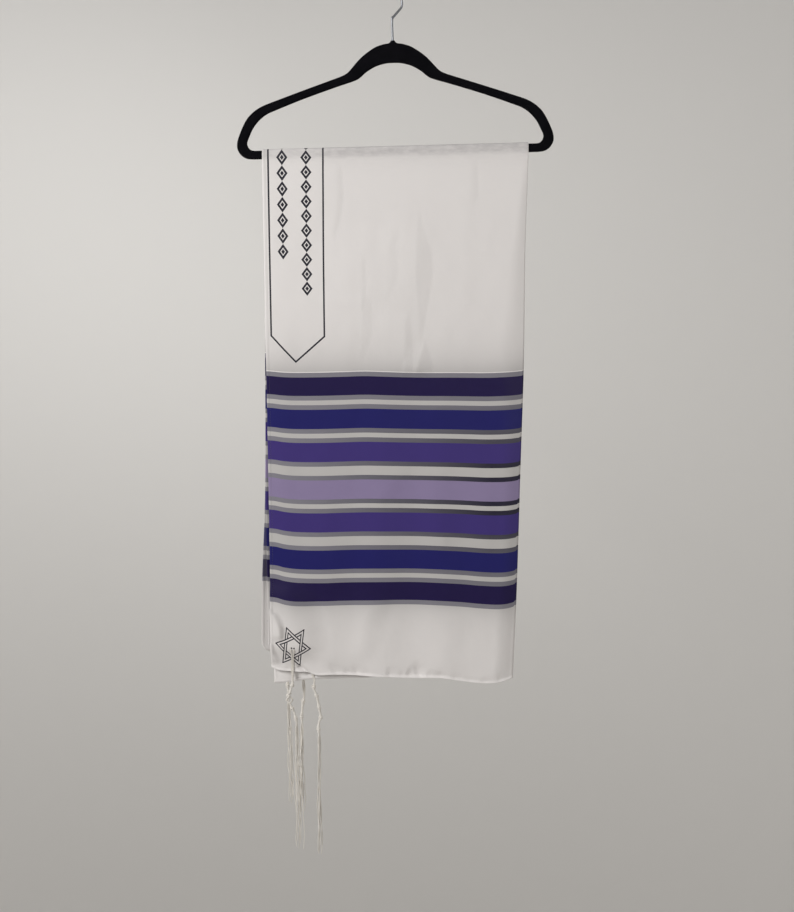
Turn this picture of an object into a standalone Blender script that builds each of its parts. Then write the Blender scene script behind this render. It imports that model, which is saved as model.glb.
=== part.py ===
"""Prayer shawl (tallit) folded in half along its length and hung over a flocked hanger.

Metres, +Z up, with the printed front at -Y and the selvages at -X. The origin is the
crown of the hook, where the rail touches the wire. The loaded hanger leans a little on
that point, and the cloth hangs plumb from its bar.
"""

import math
from collections import namedtuple

import bmesh
import bpy
from mathutils import Matrix, Vector

# ---------------------------------------------------------------- driving dimensions

LEAN = math.radians(1.2)      # the loaded hanger's lean about the hook's crown
HANGER_X = 0.0039             # hanger's middle, to the right of the hook's crown

RAIL_THICK = 0.0056           # front to back of the moulded frame
RAIL_ROUND = 0.0024           # rounded edge of the moulding
BAR_TOP = -0.2138             # top of the trouser bar, hanger upright
BAR_BOTTOM = -0.2257
BOSS_TOP = -0.0676            # top of the moulded boss that holds the wire

WIRE = 0.0032                 # hook wire diameter
HOOK_RADIUS = 0.0181          # hook bend, on the wire's centre
HOOK_TURN = 154               # degrees of the open hook, from its right side
HOOK_STEP = 11                # degrees from one point of the hook to the next
HOOK_JOG = 0.0142             # the wire's step to the right of its shaft
JOG_LOW = -0.0375             # where the step leaves the shaft, and where it ends
JOG_HIGH = -0.0225
JOG_EASE = 0.0022             # how far each bend of the step is rounded
BORE_DEPTH = 0.016
BORE_GAP = 0.0003             # air between the wire and its bore

CLOTH = 0.0010                # wall of the cloth solid
REST_GAP = 0.0004             # air between the cloth and its strings
TURN_STEPS = 6                # cells round the lengthwise fold
OVER_STEPS = 8                # cells over the bar
CURL_REACH = 0.07             # part of the width that curls back at the selvages
POCKET_START = 0.68           # where the two layers begin to open towards the fold
FACET_EASE = 0.70             # share of the facet beside the fold in which it steepens

STRING = 0.0008               # radius of the corner string's doubled loop
STRANDS = 8                   # free strands below the last knot
STRAND = 0.00055              # radius of one strand
STRAND_STEPS = 6
STAGGER = 2.4                 # turn from one strand to the next in reach and length
ROOT_RADIUS = 0.0010          # the strands' ring where they leave the last knot
ROOT_RISE = 0.0012            # and how far they start inside it
LOOP_STEPS = 4
PINCH_RISE = 0.004            # where the two sides of the loop close, above its lowest point
FAN_MIN = 0.6                 # least reach of a strand, as a share of the tassel's spread
FAN_SOON = 1.6                # the strands have spread apart at 1 / 1.6 of their length
FLATNESS = 0.6                # a tassel's depth as a share of its width
UNEVEN = 0.05                 # how much shorter the shortest strand is

# ---------------------------------------------------------------- tables

Rim = namedtuple("Rim", "across z")

# Right half of the hanger's outer outline, from the boss round to the bar.
OUTER_RIM = (
    Rim(0.0024, BOSS_TOP), Rim(0.0056, -0.0712), Rim(0.0130, -0.0724), Rim(0.0240, -0.0758),
    Rim(0.0345, -0.0819), Rim(0.0445, -0.0893), Rim(0.0520, -0.0966), Rim(0.0585, -0.1038),
    Rim(0.0650, -0.1103), Rim(0.0730, -0.1144), Rim(0.0850, -0.1185), Rim(0.1300, -0.1333),
    Rim(0.1720, -0.1475), Rim(0.1850, -0.1530), Rim(0.1945, -0.1593), Rim(0.2035, -0.1680),
    Rim(0.2100, -0.1775), Rim(0.2160, -0.1885), Rim(0.2205, -0.1985), Rim(0.2225, -0.2063),
    Rim(0.2221, -0.2130), Rim(0.2180, -0.2200), Rim(0.2105, -0.2245), Rim(0.2010, BAR_BOTTOM),
)

# Right half of the window between the arch, the shoulder and the bar.
INNER_RIM = (
    Rim(0.0000, -0.0980), Rim(0.0110, -0.0986), Rim(0.0250, -0.1024), Rim(0.0380, -0.1096),
    Rim(0.0465, -0.1166), Rim(0.0550, -0.1212), Rim(0.0830, -0.1297), Rim(0.1280, -0.1443),
    Rim(0.1720, -0.1593), Rim(0.1840, -0.1641), Rim(0.1925, -0.1712), Rim(0.2000, -0.1820),
    Rim(0.2070, -0.1940), Rim(0.2107, -0.2028), Rim(0.2095, -0.2092), Rim(0.2050, -0.2131),
    Rim(0.1990, BAR_TOP),
)

# How the folded cloth hangs below the bar. drop is the depth below the bar; selvage and
# fold are the left and right edges; stand_off is how far the pair of layers stands from
# the bar's middle plane; curl is how far the selvages bend back; gap and loop are half of
# the opening between the two layers, over most of the width and at the fold; tuck is how
# far the inner layer's selvage lies inside the outer one's. Beside the fold the layers
# slope back over a facet of this width, and fall by roll.
Section = namedtuple("Section", "drop selvage fold stand_off curl gap loop tuck facet roll")

FRONT_HANG = (
    Section(0.000, -0.1800, 0.1960, 0.00445, 0.0000, 0.00075, 0.00075, 0.0000, 0.0040, 0.0000),
    Section(0.012, -0.1800, 0.1960, 0.00445, 0.0000, 0.00075, 0.0009, 0.0000, 0.0040, 0.0000),
    Section(0.021, -0.1800, 0.1957, 0.0037, 0.0000, 0.0008, 0.0011, 0.0000, 0.0050, 0.0001),
    Section(0.060, -0.1798, 0.1948, 0.0042, 0.0002, 0.0010, 0.0016, 0.0002, 0.0100, 0.0012),
    Section(0.150, -0.1793, 0.1923, 0.0060, 0.0005, 0.0013, 0.0022, 0.0004, 0.0200, 0.0027),
    Section(0.300, -0.1784, 0.1911, 0.0086, 0.0010, 0.0016, 0.0030, 0.0008, 0.0320, 0.0040),
    Section(0.450, -0.1775, 0.1868, 0.0114, 0.0014, 0.0018, 0.0036, 0.0014, 0.0260, 0.0040),
    Section(0.600, -0.1770, 0.1827, 0.0140, 0.0017, 0.0020, 0.0041, 0.0022, 0.0240, 0.0042),
    Section(0.690, -0.1769, 0.1798, 0.0151, 0.0019, 0.0021, 0.0044, 0.0028, 0.0280, 0.0056),
    Section(0.770, -0.1768, 0.1763, 0.0160, 0.0020, 0.0022, 0.0046, 0.0034, 0.0310, 0.0060),
)

BACK_HANG = (
    Section(0.000, -0.1800, 0.1960, 0.00445, 0.0000, 0.00075, 0.00075, 0.0000, 0.0040, 0.0000),
    Section(0.012, -0.1800, 0.1960, 0.00445, 0.0000, 0.00075, 0.0009, 0.0000, 0.0040, 0.0000),
    Section(0.021, -0.1800, 0.1955, 0.0037, 0.0000, 0.0008, 0.0011, 0.0000, 0.0050, 0.0001),
    Section(0.060, -0.1798, 0.1940, 0.0042, 0.0002, 0.0010, 0.0016, 0.0000, 0.0120, 0.0004),
    Section(0.150, -0.1800, 0.1905, 0.0057, 0.0004, 0.0013, 0.0022, 0.0000, 0.0260, 0.0010),
    Section(0.330, -0.1822, 0.1850, 0.0082, 0.0008, 0.0016, 0.0030, 0.0002, 0.0360, 0.0018),
    Section(0.500, -0.1860, 0.1785, 0.0108, 0.0012, 0.0018, 0.0036, 0.0020, 0.0340, 0.0030),
    Section(0.620, -0.1922, 0.1730, 0.0126, 0.0015, 0.0020, 0.0041, 0.0072, 0.0280, 0.0036),
    Section(0.740, -0.1952, 0.1690, 0.0142, 0.0018, 0.0022, 0.0044, 0.0095, 0.0320, 0.0042),
)

# Hem heights from the selvages (0) to the fold (1), for the outer and inner layer.
Hem = namedtuple("Hem", "across outer inner")

FRONT_HEM = (
    Hem(0.00, -0.9591, -0.9841), Hem(0.03, -0.9633, -0.9833), Hem(0.08, -0.9643, -0.9801),
    Hem(0.14, -0.9661, -0.9767), Hem(0.19, -0.9699, -0.9751), Hem(0.25, -0.9679, -0.9749),
    Hem(0.45, -0.9716, -0.9711), Hem(0.58, -0.9749, -0.9723), Hem(0.70, -0.9749, -0.9727),
    Hem(0.78, -0.9786, -0.9737), Hem(0.87, -0.9794, -0.9747), Hem(0.93, -0.9791, -0.9749),
    Hem(1.00, -0.9746, -0.9746),
)

BACK_HEM = (
    Hem(0.00, -0.9400, -0.9345), Hem(0.08, -0.9402, -0.9350), Hem(0.30, -0.9350, -0.9315),
    Hem(0.55, -0.9278, -0.9250), Hem(0.80, -0.9190, -0.9168), Hem(0.92, -0.9155, -0.9130),
    Hem(1.00, -0.9120, -0.9120),
)

# Soft upright folds: where across, half width, depth at the hem (out is +), the drop
# where it begins, and how far it drifts sideways on the way down.
Fold = namedtuple("Fold", "across reach depth begins drift")

FRONT_FOLDS = (
    Fold(0.20, 0.11, 0.0008, 0.42, 0.02), Fold(0.33, 0.10, -0.0009, 0.30, 0.00),
    Fold(0.45, 0.11, 0.0011, 0.12, -0.02), Fold(0.56, 0.09, -0.0010, 0.03, 0.02),
    Fold(0.67, 0.10, 0.0009, 0.14, 0.03), Fold(0.77, 0.08, -0.0007, 0.38, 0.02),
)

BACK_FOLDS = (
    Fold(0.18, 0.12, 0.0014, 0.30, -0.02), Fold(0.31, 0.10, -0.0012, 0.16, 0.02),
    Fold(0.44, 0.12, 0.0016, 0.06, 0.00), Fold(0.58, 0.11, -0.0014, 0.20, -0.03),
    Fold(0.71, 0.10, 0.0012, 0.34, 0.00),
)

Hang = namedtuple("Hang", "side sections hem folds")
FRONT = Hang(-1, FRONT_HANG, FRONT_HEM, FRONT_FOLDS)
BACK = Hang(1, BACK_HANG, BACK_HEM, BACK_FOLDS)

# Grid lines of the cloth: drops near the bar, then steps down to the hem. The lines
# close to the selvages and hems leave one small cell for each corner's eyelet.
NEAR_BAR = (0.000, 0.010, 0.014, 0.021, 0.036, 0.062, 0.100)
FRONT_STEPS = 15
BACK_STEPS = 13
HEM_LINES = (0.0400, 0.0335, 0.0140)
OUTER_LINES = (0.000, 0.030, 0.081, 0.097, 0.140, 0.190, 0.245, 0.305, 0.365, 0.425, 0.485,
               0.545, 0.605, 0.665, 0.725, 0.785, 0.840, 0.890, 0.930, 0.960, 0.985)
INNER_LINES = (0.000, 0.060, 0.127, 0.144, 0.205, 0.280, 0.370, 0.460, 0.550, 0.640, 0.730,
               0.810, 0.870, 0.920, 0.960, 0.985)
OUTER_EYELET = 2              # the cell that is left out, counted from the selvage
INNER_EYELET = 2
EYELET_ROW = 2                # and the same cell counted up from the hem

# Knots and windings of a corner's strings, measured from the lowest point of their loop.
Knot = namedtuple("Knot", "below across radius")

KNOTS_LEFT = (
    Knot(0.000, 0.0000, 0.0016), Knot(0.005, -0.0010, 0.0027),
    Knot(0.010, -0.0034, 0.0017), Knot(0.018, -0.0058, 0.0018),
    Knot(0.023, -0.0052, 0.0029), Knot(0.028, -0.0030, 0.0017),
    Knot(0.036, 0.0012, 0.0028), Knot(0.041, 0.0026, 0.0017),
    Knot(0.055, 0.0064, 0.0026), Knot(0.061, 0.0068, 0.0018),
)
KNOTS_RIGHT = (
    Knot(0.000, 0.0000, 0.0016), Knot(0.005, -0.0014, 0.0028),
    Knot(0.010, -0.0004, 0.0017), Knot(0.019, 0.0034, 0.0027),
    Knot(0.026, 0.0052, 0.0018), Knot(0.036, 0.0070, 0.0027),
    Knot(0.043, 0.0080, 0.0018), Knot(0.051, 0.0084, 0.0026),
    Knot(0.058, 0.0060, 0.0018), Knot(0.069, 0.0056, 0.0029),
    Knot(0.075, 0.0062, 0.0018),
)
KNOTS_PLAIN = (
    Knot(0.000, 0.0000, 0.0016), Knot(0.005, 0.0008, 0.0027),
    Knot(0.011, 0.0016, 0.0017), Knot(0.022, 0.0020, 0.0026),
    Knot(0.030, 0.0030, 0.0017), Knot(0.040, 0.0030, 0.0027),
    Knot(0.048, 0.0036, 0.0017), Knot(0.056, 0.0034, 0.0026),
    Knot(0.062, 0.0036, 0.0018),
)

# The four corners' strings: which layer they hang from, how far they swing sideways below
# the eyelet, how far the loop reaches below the hem, and the strands' ends.
Tassel = namedtuple("Tassel", "name hang layer swing loop_below knots ends drift spread")

TASSELS = (
    Tassel("tzitzit_front_outer", FRONT, 1, -0.001, 0.0150, KNOTS_LEFT, -1.234, 0.003, 0.0050),
    Tassel("tzitzit_front_inner", FRONT, -1, 0.011, 0.0060, KNOTS_RIGHT, -1.245, 0.000, 0.0035),
    Tassel("tzitzit_back_inner", BACK, -1, 0.005, 0.0150, KNOTS_PLAIN, -1.190, -0.001, 0.0045),
    Tassel("tzitzit_back_outer", BACK, 1, 0.002, 0.0150, KNOTS_PLAIN, -1.180, 0.005, 0.0045),
)


# ---------------------------------------------------------------- small helpers

def smooth(t):
    """Ease from 0 to 1."""
    t = min(max(t, 0.0), 1.0)
    return t * t * (3.0 - 2.0 * t)


def between(rows, at):
    """The table's row at a value of its first column, eased through the rows."""
    kind = type(rows[0])
    if at <= rows[0][0]:
        return rows[0]
    if at >= rows[-1][0]:
        return rows[-1]
    i = next(n for n in range(len(rows) - 1) if rows[n + 1][0] >= at)
    before = rows[max(i - 1, 0)]
    after = rows[min(i + 2, len(rows) - 1)]
    low, high = rows[i], rows[i + 1]
    span = high[0] - low[0]
    t = (at - low[0]) / span
    values = []
    for p0, p1, p2, p3 in zip(before, low, high, after):
        m1 = (p2 - p0) / (high[0] - before[0]) * span
        m2 = (p3 - p1) / (after[0] - low[0]) * span
        values.append((2 * t**3 - 3 * t**2 + 1) * p1 + (t**3 - 2 * t**2 + t) * m1
                      + (3 * t**2 - 2 * t**3) * p2 + (t**3 - t**2) * m2)
    return kind(*values)


def material(name, colour, roughness, metallic=0.0):
    mat = bpy.data.materials.new(name)
    mat.use_nodes = True
    shader = mat.node_tree.nodes["Principled BSDF"]
    shader.inputs["Base Color"].default_value = (*colour, 1.0)
    shader.inputs["Roughness"].default_value = roughness
    shader.inputs["Metallic"].default_value = metallic
    return mat


def add_object(name, data, collection, mat, parent=None):
    obj = bpy.data.objects.new(name, data)
    collection.objects.link(obj)
    data.materials.append(mat)
    obj.parent = parent
    return obj


def mesh_from_curve(obj, collection):
    """Turn a curve object into a closed mesh object of the same name and place."""
    bpy.context.view_layer.update()
    graph = bpy.context.evaluated_depsgraph_get()
    mesh = bpy.data.meshes.new_from_object(obj.evaluated_get(graph))
    bm = bmesh.new()
    bm.from_mesh(mesh)
    bmesh.ops.remove_doubles(bm, verts=bm.verts, dist=1e-6)
    bmesh.ops.recalc_face_normals(bm, faces=bm.faces)
    bm.to_mesh(mesh)
    bm.free()
    name, parent, place = obj.name, obj.parent, obj.matrix_world.copy()
    bpy.data.objects.remove(obj)
    made = bpy.data.objects.new(name, mesh)
    collection.objects.link(made)
    made.parent = parent
    made.matrix_world = place
    return made


def tube(name, points, radius, collection, mat, sides, cyclic=False, radii=None, parent=None):
    """A round wire through the points, as a curve with a bevel. sides is 4 or more, even."""
    curve = bpy.data.curves.new(name, "CURVE")
    curve.dimensions = "3D"
    curve.bevel_depth = radius
    curve.bevel_resolution = sides // 2 - 2
    curve.use_fill_caps = not cyclic
    curve.render_resolution_u = 0
    spline = curve.splines.new("POLY")
    spline.points.add(len(points) - 1)
    for i, point in enumerate(points):
        spline.points[i].co = (*point, 1.0)
        spline.points[i].radius = radii[i] / radius if radii else 1.0
    spline.use_cyclic_u = cyclic
    return add_object(name, curve, collection, mat, parent)


def boolean(obj, other, operation):
    """Join or cut with the EXACT solver, and keep the result as the object's mesh."""
    mod = obj.modifiers.new(operation.lower(), "BOOLEAN")
    mod.operation = operation
    mod.object = other
    mod.solver = "EXACT"
    bpy.context.view_layer.update()
    graph = bpy.context.evaluated_depsgraph_get()
    mesh = bpy.data.meshes.new_from_object(obj.evaluated_get(graph))
    obj.modifiers.clear()
    obj.data = mesh


# ---------------------------------------------------------------- hanger

def hanger_frame(collection, cutters, lean):
    """One flocked moulding: arch, shoulders and trouser bar round an open window."""
    flock = material("black_flock", (0.004, 0.004, 0.005), 0.95)
    curve = bpy.data.curves.new("hanger_frame", "CURVE")
    curve.dimensions = "2D"
    curve.fill_mode = "BOTH"
    curve.extrude = RAIL_THICK / 2 - RAIL_ROUND
    curve.bevel_depth = RAIL_ROUND
    curve.bevel_resolution = 1
    curve.offset = -RAIL_ROUND
    curve.render_resolution_u = 0
    for rim in (OUTER_RIM, INNER_RIM):
        left = [Rim(-p.across, p.z) for p in reversed(rim) if p.across > 0.0]
        spline = curve.splines.new("POLY")
        ring = left + list(rim)
        spline.points.add(len(ring) - 1)
        for point, p in zip(spline.points, ring):
            point.co = (p.across, p.z, 0.0, 1.0)
        spline.use_cyclic_u = True
    frame = add_object("hanger_frame", curve, collection, flock, lean)
    frame.location = (HANGER_X, 0.0, 0.0)
    frame.rotation_euler = (math.pi / 2, 0.0, 0.0)
    frame = mesh_from_curve(frame, collection)

    bpy.ops.mesh.primitive_cylinder_add(
        vertices=16, radius=WIRE / 2 + BORE_GAP, depth=2 * BORE_DEPTH,
        location=(HANGER_X, 0.0, BOSS_TOP))
    bore = bpy.context.active_object
    bore.name = "hook_bore"
    bore.parent = lean
    bore.display_type = "WIRE"
    bore.hide_render = True
    for home in list(bore.users_collection):
        home.objects.unlink(bore)
    cutters.objects.link(bore)
    boolean(frame, bore, "DIFFERENCE")
    frame.data.shade_smooth()
    frame.data.set_sharp_from_angle(angle=math.radians(40))
    return frame


def hanger_hook(collection, lean):
    """Steel wire: a shaft in the boss, a step to the right and the open hook above."""
    steel = material("polished_steel", (0.60, 0.60, 0.60), 0.20, 1.0)
    centre_z = WIRE / 2 - HOOK_RADIUS
    shaft = HANGER_X
    right = shaft + HOOK_JOG
    near = JOG_EASE / 4
    points = [(shaft, BOSS_TOP - BORE_DEPTH + BORE_GAP),
              (shaft, JOG_LOW - JOG_EASE), (shaft + near, JOG_LOW - near),
              (shaft + JOG_EASE, JOG_LOW + JOG_EASE), (right - JOG_EASE, JOG_HIGH - JOG_EASE),
              (right - near, JOG_HIGH + near), (right, JOG_HIGH + JOG_EASE)]
    for degrees in range(0, HOOK_TURN + 1, HOOK_STEP):
        angle = math.radians(degrees)
        points.append((right - HOOK_RADIUS + HOOK_RADIUS * math.cos(angle),
                       centre_z + HOOK_RADIUS * math.sin(angle)))
    wire = tube("hanger_hook", [(x, 0.0, z) for x, z in points], WIRE / 2, collection, steel,
                sides=8, parent=lean)
    return mesh_from_curve(wire, collection)


# ---------------------------------------------------------------- shawl

def bar_axis(x):
    """Height of the rounded top edge's centre line above a place along the leaning bar."""
    upright = BAR_TOP - RAIL_THICK / 2
    return upright / math.cos(LEAN) + x * math.tan(LEAN)


def hem_height(hang, across, layer):
    row = between(hang.hem, across)
    return (row.outer + row.inner) / 2 + layer * (row.outer - row.inner) / 2


def facet_fall(share):
    """How far the facet has fallen, from 0 where it begins to 1 where the cloth turns."""
    share = min(max(share, 0.0), 1.0)
    if share < FACET_EASE:
        return share**2 / (2 * FACET_EASE) / (1 - FACET_EASE / 2)
    return (share - FACET_EASE / 2) / (1 - FACET_EASE / 2)


def fold_relief(hang, across, drop):
    """Sum of the soft upright folds at a place on the hang."""
    total = 0.0
    deepest = hang.sections[-1].drop
    for fold in hang.folds:
        grown = smooth((drop - fold.begins) / (deepest - fold.begins))
        offset = (across - fold.across - fold.drift * drop / deepest) / fold.reach
        if abs(offset) < 1.0:
            total += fold.depth * grown * math.cos(offset * math.pi / 2) ** 2
    return total


def hang_point(hang, across, turn, fraction):
    """A point of the doubled cloth below the bar.

    across runs from the selvages (0) to the fold (1). turn is 1 on the outer layer, -1
    on the inner one and between them round the fold. fraction is 0 at the bar and 1 at
    the hem.
    """
    top = bar_axis(0.0)
    drop = fraction * (top - hem_height(hang, across, turn))
    row = between(hang.sections, drop)
    run = min(across, OUTER_LINES[-1]) / OUTER_LINES[-1]
    bend = math.sqrt(max(1.0 - turn * turn, 0.0)) if across > OUTER_LINES[-1] else 0.0
    left = row.selvage + row.tuck * (1.0 - turn) / 2
    level_x = left + (row.fold - row.loop - left) * run
    x = level_x + row.loop * bend
    z = (1 - fraction) * bar_axis(x) + fraction * hem_height(hang, across, turn)
    curl = row.curl * max(1.0 - across / CURL_REACH, 0.0) ** 2
    half = row.gap + (row.loop - row.gap) * smooth(
        (across - POCKET_START) / (OUTER_LINES[-1] - POCKET_START))
    on_facet = (level_x - row.fold + row.facet) / (row.facet - row.loop)
    away = (row.stand_off - curl + fold_relief(hang, across, drop)
            - (half - row.gap) - row.roll * facet_fall(on_facet) + turn * half)
    return Vector((x, hang.side * away, z))


def over_bar_point(across, turn, angle):
    """A point where the doubled cloth wraps the top of the bar; angle runs front to back."""
    start = hang_point(FRONT, across, turn, 0.0)
    radius = -start.y
    return Vector((start.x, -radius * math.cos(angle), start.z + radius * math.sin(angle)))


def hang_fractions(hang, steps):
    """Rows from the bar (0) to the hem (1), closer beside the bar and the eyelets."""
    length = bar_axis(0.0) - hem_height(hang, 0.0, 1)
    near = [drop / length for drop in NEAR_BAR]
    last = [1.0 - rise / length for rise in HEM_LINES]
    first = near[-1]
    middle = [first + (last[0] - first) * n / steps for n in range(1, steps)]
    return near + middle + last + [1.0]


def cloth_columns():
    """(across, turn) for each grid line: outer layer, round the fold, inner layer."""
    outer = [(across, 1.0) for across in OUTER_LINES]
    turns = [(1.0, math.cos(math.pi * n / TURN_STEPS)) for n in range(1, TURN_STEPS)]
    inner = [(across, -1.0) for across in reversed(INNER_LINES)]
    return outer + turns + inner


def shawl(collection):
    """The whole cloth as one hemmed sheet: front hang, over the bar, back hang."""
    cloth = material("white_satin", (0.72, 0.70, 0.68), 0.55)
    columns = cloth_columns()
    front = hang_fractions(FRONT, FRONT_STEPS)
    back = hang_fractions(BACK, BACK_STEPS)
    rows = [[hang_point(FRONT, a, turn, f) for a, turn in columns] for f in reversed(front)]
    for n in range(1, OVER_STEPS):
        angle = math.pi * n / OVER_STEPS
        rows.append([over_bar_point(a, turn, angle) for a, turn in columns])
    rows += [[hang_point(BACK, a, turn, f) for a, turn in columns] for f in back]

    hole_columns = (OUTER_EYELET, len(columns) - 2 - INNER_EYELET)
    hole_rows = (EYELET_ROW, len(rows) - 2 - EYELET_ROW)
    bm = bmesh.new()
    grid = [[bm.verts.new(point) for point in row] for row in rows]
    for j in range(len(rows) - 1):
        for i in range(len(columns) - 1):
            if i in hole_columns and j in hole_rows:
                continue
            bm.faces.new((grid[j][i], grid[j][i + 1], grid[j + 1][i + 1], grid[j + 1][i]))
    mesh = bpy.data.meshes.new("shawl")
    bm.to_mesh(mesh)
    bm.free()
    obj = add_object("shawl", mesh, collection, cloth)
    wall = obj.modifiers.new("cloth_wall", "SOLIDIFY")
    wall.thickness = CLOTH
    wall.offset = 0.0
    wall.use_even_offset = True
    wall.use_rim = True
    mesh.shade_smooth()
    return obj


# ---------------------------------------------------------------- corner strings

def eyelet_middle(hang, layer):
    """Where a corner's strings pass through the cloth, and its across value."""
    lines = OUTER_LINES if layer > 0 else INNER_LINES
    cell = OUTER_EYELET if layer > 0 else INNER_EYELET
    across = (lines[cell] + lines[cell + 1]) / 2
    length = bar_axis(0.0) - hem_height(hang, 0.0, 1)
    fraction = 1.0 - (HEM_LINES[0] + HEM_LINES[1]) / 2 / length
    return across, fraction, hang_point(hang, across, layer, fraction)


def string_loop(spec, collection, cord):
    """The doubled strings: through the eyelet, down both faces and together below the hem."""
    across, start, middle = eyelet_middle(spec.hang, spec.layer)
    last = spec.hang.sections[-1]
    swing = spec.swing / (last.fold - last.selvage)
    side = CLOTH / 2 + REST_GAP + STRING
    outward = Vector((0.0, spec.hang.side, 0.0))
    down = []
    for n in range(LOOP_STEPS + 1):
        t = n / LOOP_STEPS
        down.append(hang_point(spec.hang, across + swing * t, spec.layer, start + (1 - start) * t))
    meet = down[-1] - Vector((0.0, 0.0, spec.loop_below))
    pinch = meet + Vector((0.0, 0.0, PINCH_RISE))
    entry = middle + Vector((0.0, 0.0, STRING))
    ring = [entry] + [spot + outward * side for spot in down]
    ring += [pinch + outward * side / 2, meet, pinch - outward * side / 2]
    ring += [spot - outward * side for spot in reversed(down)]
    loop = tube(spec.name, ring, STRING, collection, cord, 6, cyclic=True)
    return mesh_from_curve(loop, collection), meet


def tassel(spec, collection):
    """Doubled strings looped through an eyelet, knotted below the hem, in eight strands."""
    cord = material(spec.name + "_cotton", (0.72, 0.66, 0.55), 0.90)
    body, meet = string_loop(spec, collection, cord)
    knots = [meet + Vector((knot.across, 0.0, -knot.below)) for knot in spec.knots]
    pieces = [tube(spec.name + "_knots", knots, STRING, collection, cord, 6,
                   radii=[knot.radius for knot in spec.knots])]
    foot = knots[-1] + Vector((0.0, 0.0, ROOT_RISE))
    for n in range(STRANDS):
        angle = 2 * math.pi * (n + 0.5) / STRANDS
        fan = spec.spread * (FAN_MIN + (1 - FAN_MIN) * math.cos(STAGGER * n))
        length = (foot.z - spec.ends) * (1.0 - UNEVEN * math.sin(STAGGER * n) ** 2)
        points = []
        for s in range(STRAND_STEPS + 1):
            t = s / STRAND_STEPS
            reach = ROOT_RADIUS + fan * smooth(FAN_SOON * t)
            points.append(foot + Vector((reach * math.cos(angle) + spec.drift * t,
                                         FLATNESS * reach * math.sin(angle), -length * t)))
        pieces.append(tube(f"{spec.name}_strand_{n}", points, STRAND, collection, cord, 4))
    for piece in pieces:
        solid = mesh_from_curve(piece, collection)
        boolean(body, solid, "UNION")
        bpy.data.objects.remove(solid)
    return body


# ---------------------------------------------------------------- assembly

def build():
    for obj in list(bpy.data.objects):
        bpy.data.objects.remove(obj)
    scene = bpy.context.scene
    parts = bpy.data.collections.new("shawl_on_hanger")
    cutters = bpy.data.collections.new("cutters")
    scene.collection.children.link(parts)
    scene.collection.children.link(cutters)

    lean = bpy.data.objects.new("hanger_lean", None)
    parts.objects.link(lean)
    lean.matrix_world = Matrix.Rotation(-LEAN, 4, "Y")
    bpy.context.view_layer.update()

    hanger_frame(parts, cutters, lean)
    hanger_hook(parts, lean)
    shawl(parts)
    for spec in TASSELS:
        tassel(spec, parts)


build()
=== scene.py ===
"""Prayer shawl folded in half along its length and hung over a flocked hanger.

The pieces come in the order in which they are put together: moulded hanger, wire hook,
printed satin sheet, hem stitching, corner strings, and then the studio. Metres, +Z up.
"""

import math
from collections import namedtuple
from functools import partial

import bmesh
import bpy
import numpy as np
from mathutils import Matrix, Vector


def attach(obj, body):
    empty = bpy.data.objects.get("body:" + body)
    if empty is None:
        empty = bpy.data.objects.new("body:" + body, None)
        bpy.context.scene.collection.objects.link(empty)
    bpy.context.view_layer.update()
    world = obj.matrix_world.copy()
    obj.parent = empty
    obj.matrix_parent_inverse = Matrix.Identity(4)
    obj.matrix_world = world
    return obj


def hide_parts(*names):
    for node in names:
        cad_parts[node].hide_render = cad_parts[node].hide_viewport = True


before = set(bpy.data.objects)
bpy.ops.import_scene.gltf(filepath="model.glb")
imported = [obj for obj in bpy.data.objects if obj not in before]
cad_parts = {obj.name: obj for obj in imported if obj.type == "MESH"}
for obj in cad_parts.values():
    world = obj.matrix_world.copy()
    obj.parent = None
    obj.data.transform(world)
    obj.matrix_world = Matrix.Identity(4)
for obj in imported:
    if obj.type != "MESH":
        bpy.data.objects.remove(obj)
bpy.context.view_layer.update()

# ------------------------------------------------------------------ moulded hanger
# One hoop of moulded polystyrene: arch, sloping shoulders and trouser bar in one piece.
# It is sprayed with glue and flocked all over with short black nylon fibre, so that
# clothes don't slide off. The loaded hanger leans a little about the crown of its hook.

LEAN = math.radians(1.2)
HANGER_X = 0.0039
RAIL_THICK = 0.0056
RAIL_ROUND = 0.0024
BAR_TOP = -0.2138
BAR_BOTTOM = -0.2257
BOSS_TOP = -0.0676

Rim = namedtuple("Rim", "across z")
OUTER_RIM = [Rim(*row) for row in ((0.0024, BOSS_TOP), (0.0056, -0.0712), (0.0130, -0.0724),
    (0.0240, -0.0758), (0.0345, -0.0819), (0.0445, -0.0893), (0.0520, -0.0966), (0.0585, -0.1038),
    (0.0650, -0.1103), (0.0730, -0.1144), (0.0850, -0.1185), (0.1300, -0.1333), (0.1720, -0.1475),
    (0.1868, -0.1530), (0.1976, -0.1593), (0.2071, -0.1680), (0.2133, -0.1775), (0.2186, -0.1885),
    (0.2225, -0.1985), (0.2238, -0.2063), (0.2227, -0.2130), (0.2180, -0.2200), (0.2105, -0.2245),
    (0.2010, BAR_BOTTOM))]
INNER_RIM = [Rim(*row) for row in ((0.0000, -0.0980), (0.0110, -0.0986), (0.0250, -0.1024),
    (0.0380, -0.1096), (0.0465, -0.1166), (0.0550, -0.1212), (0.0830, -0.1297), (0.1280, -0.1443),
    (0.1690, -0.1593), (0.1803, -0.1641), (0.1902, -0.1712), (0.1996, -0.1820), (0.2058, -0.1940),
    (0.2092, -0.2026), (0.2078, -0.2088), (0.2038, -0.2128), (0.1990, BAR_TOP))]
RIM_STEPS = 4                 # points drawn between two rows of a rim


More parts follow.
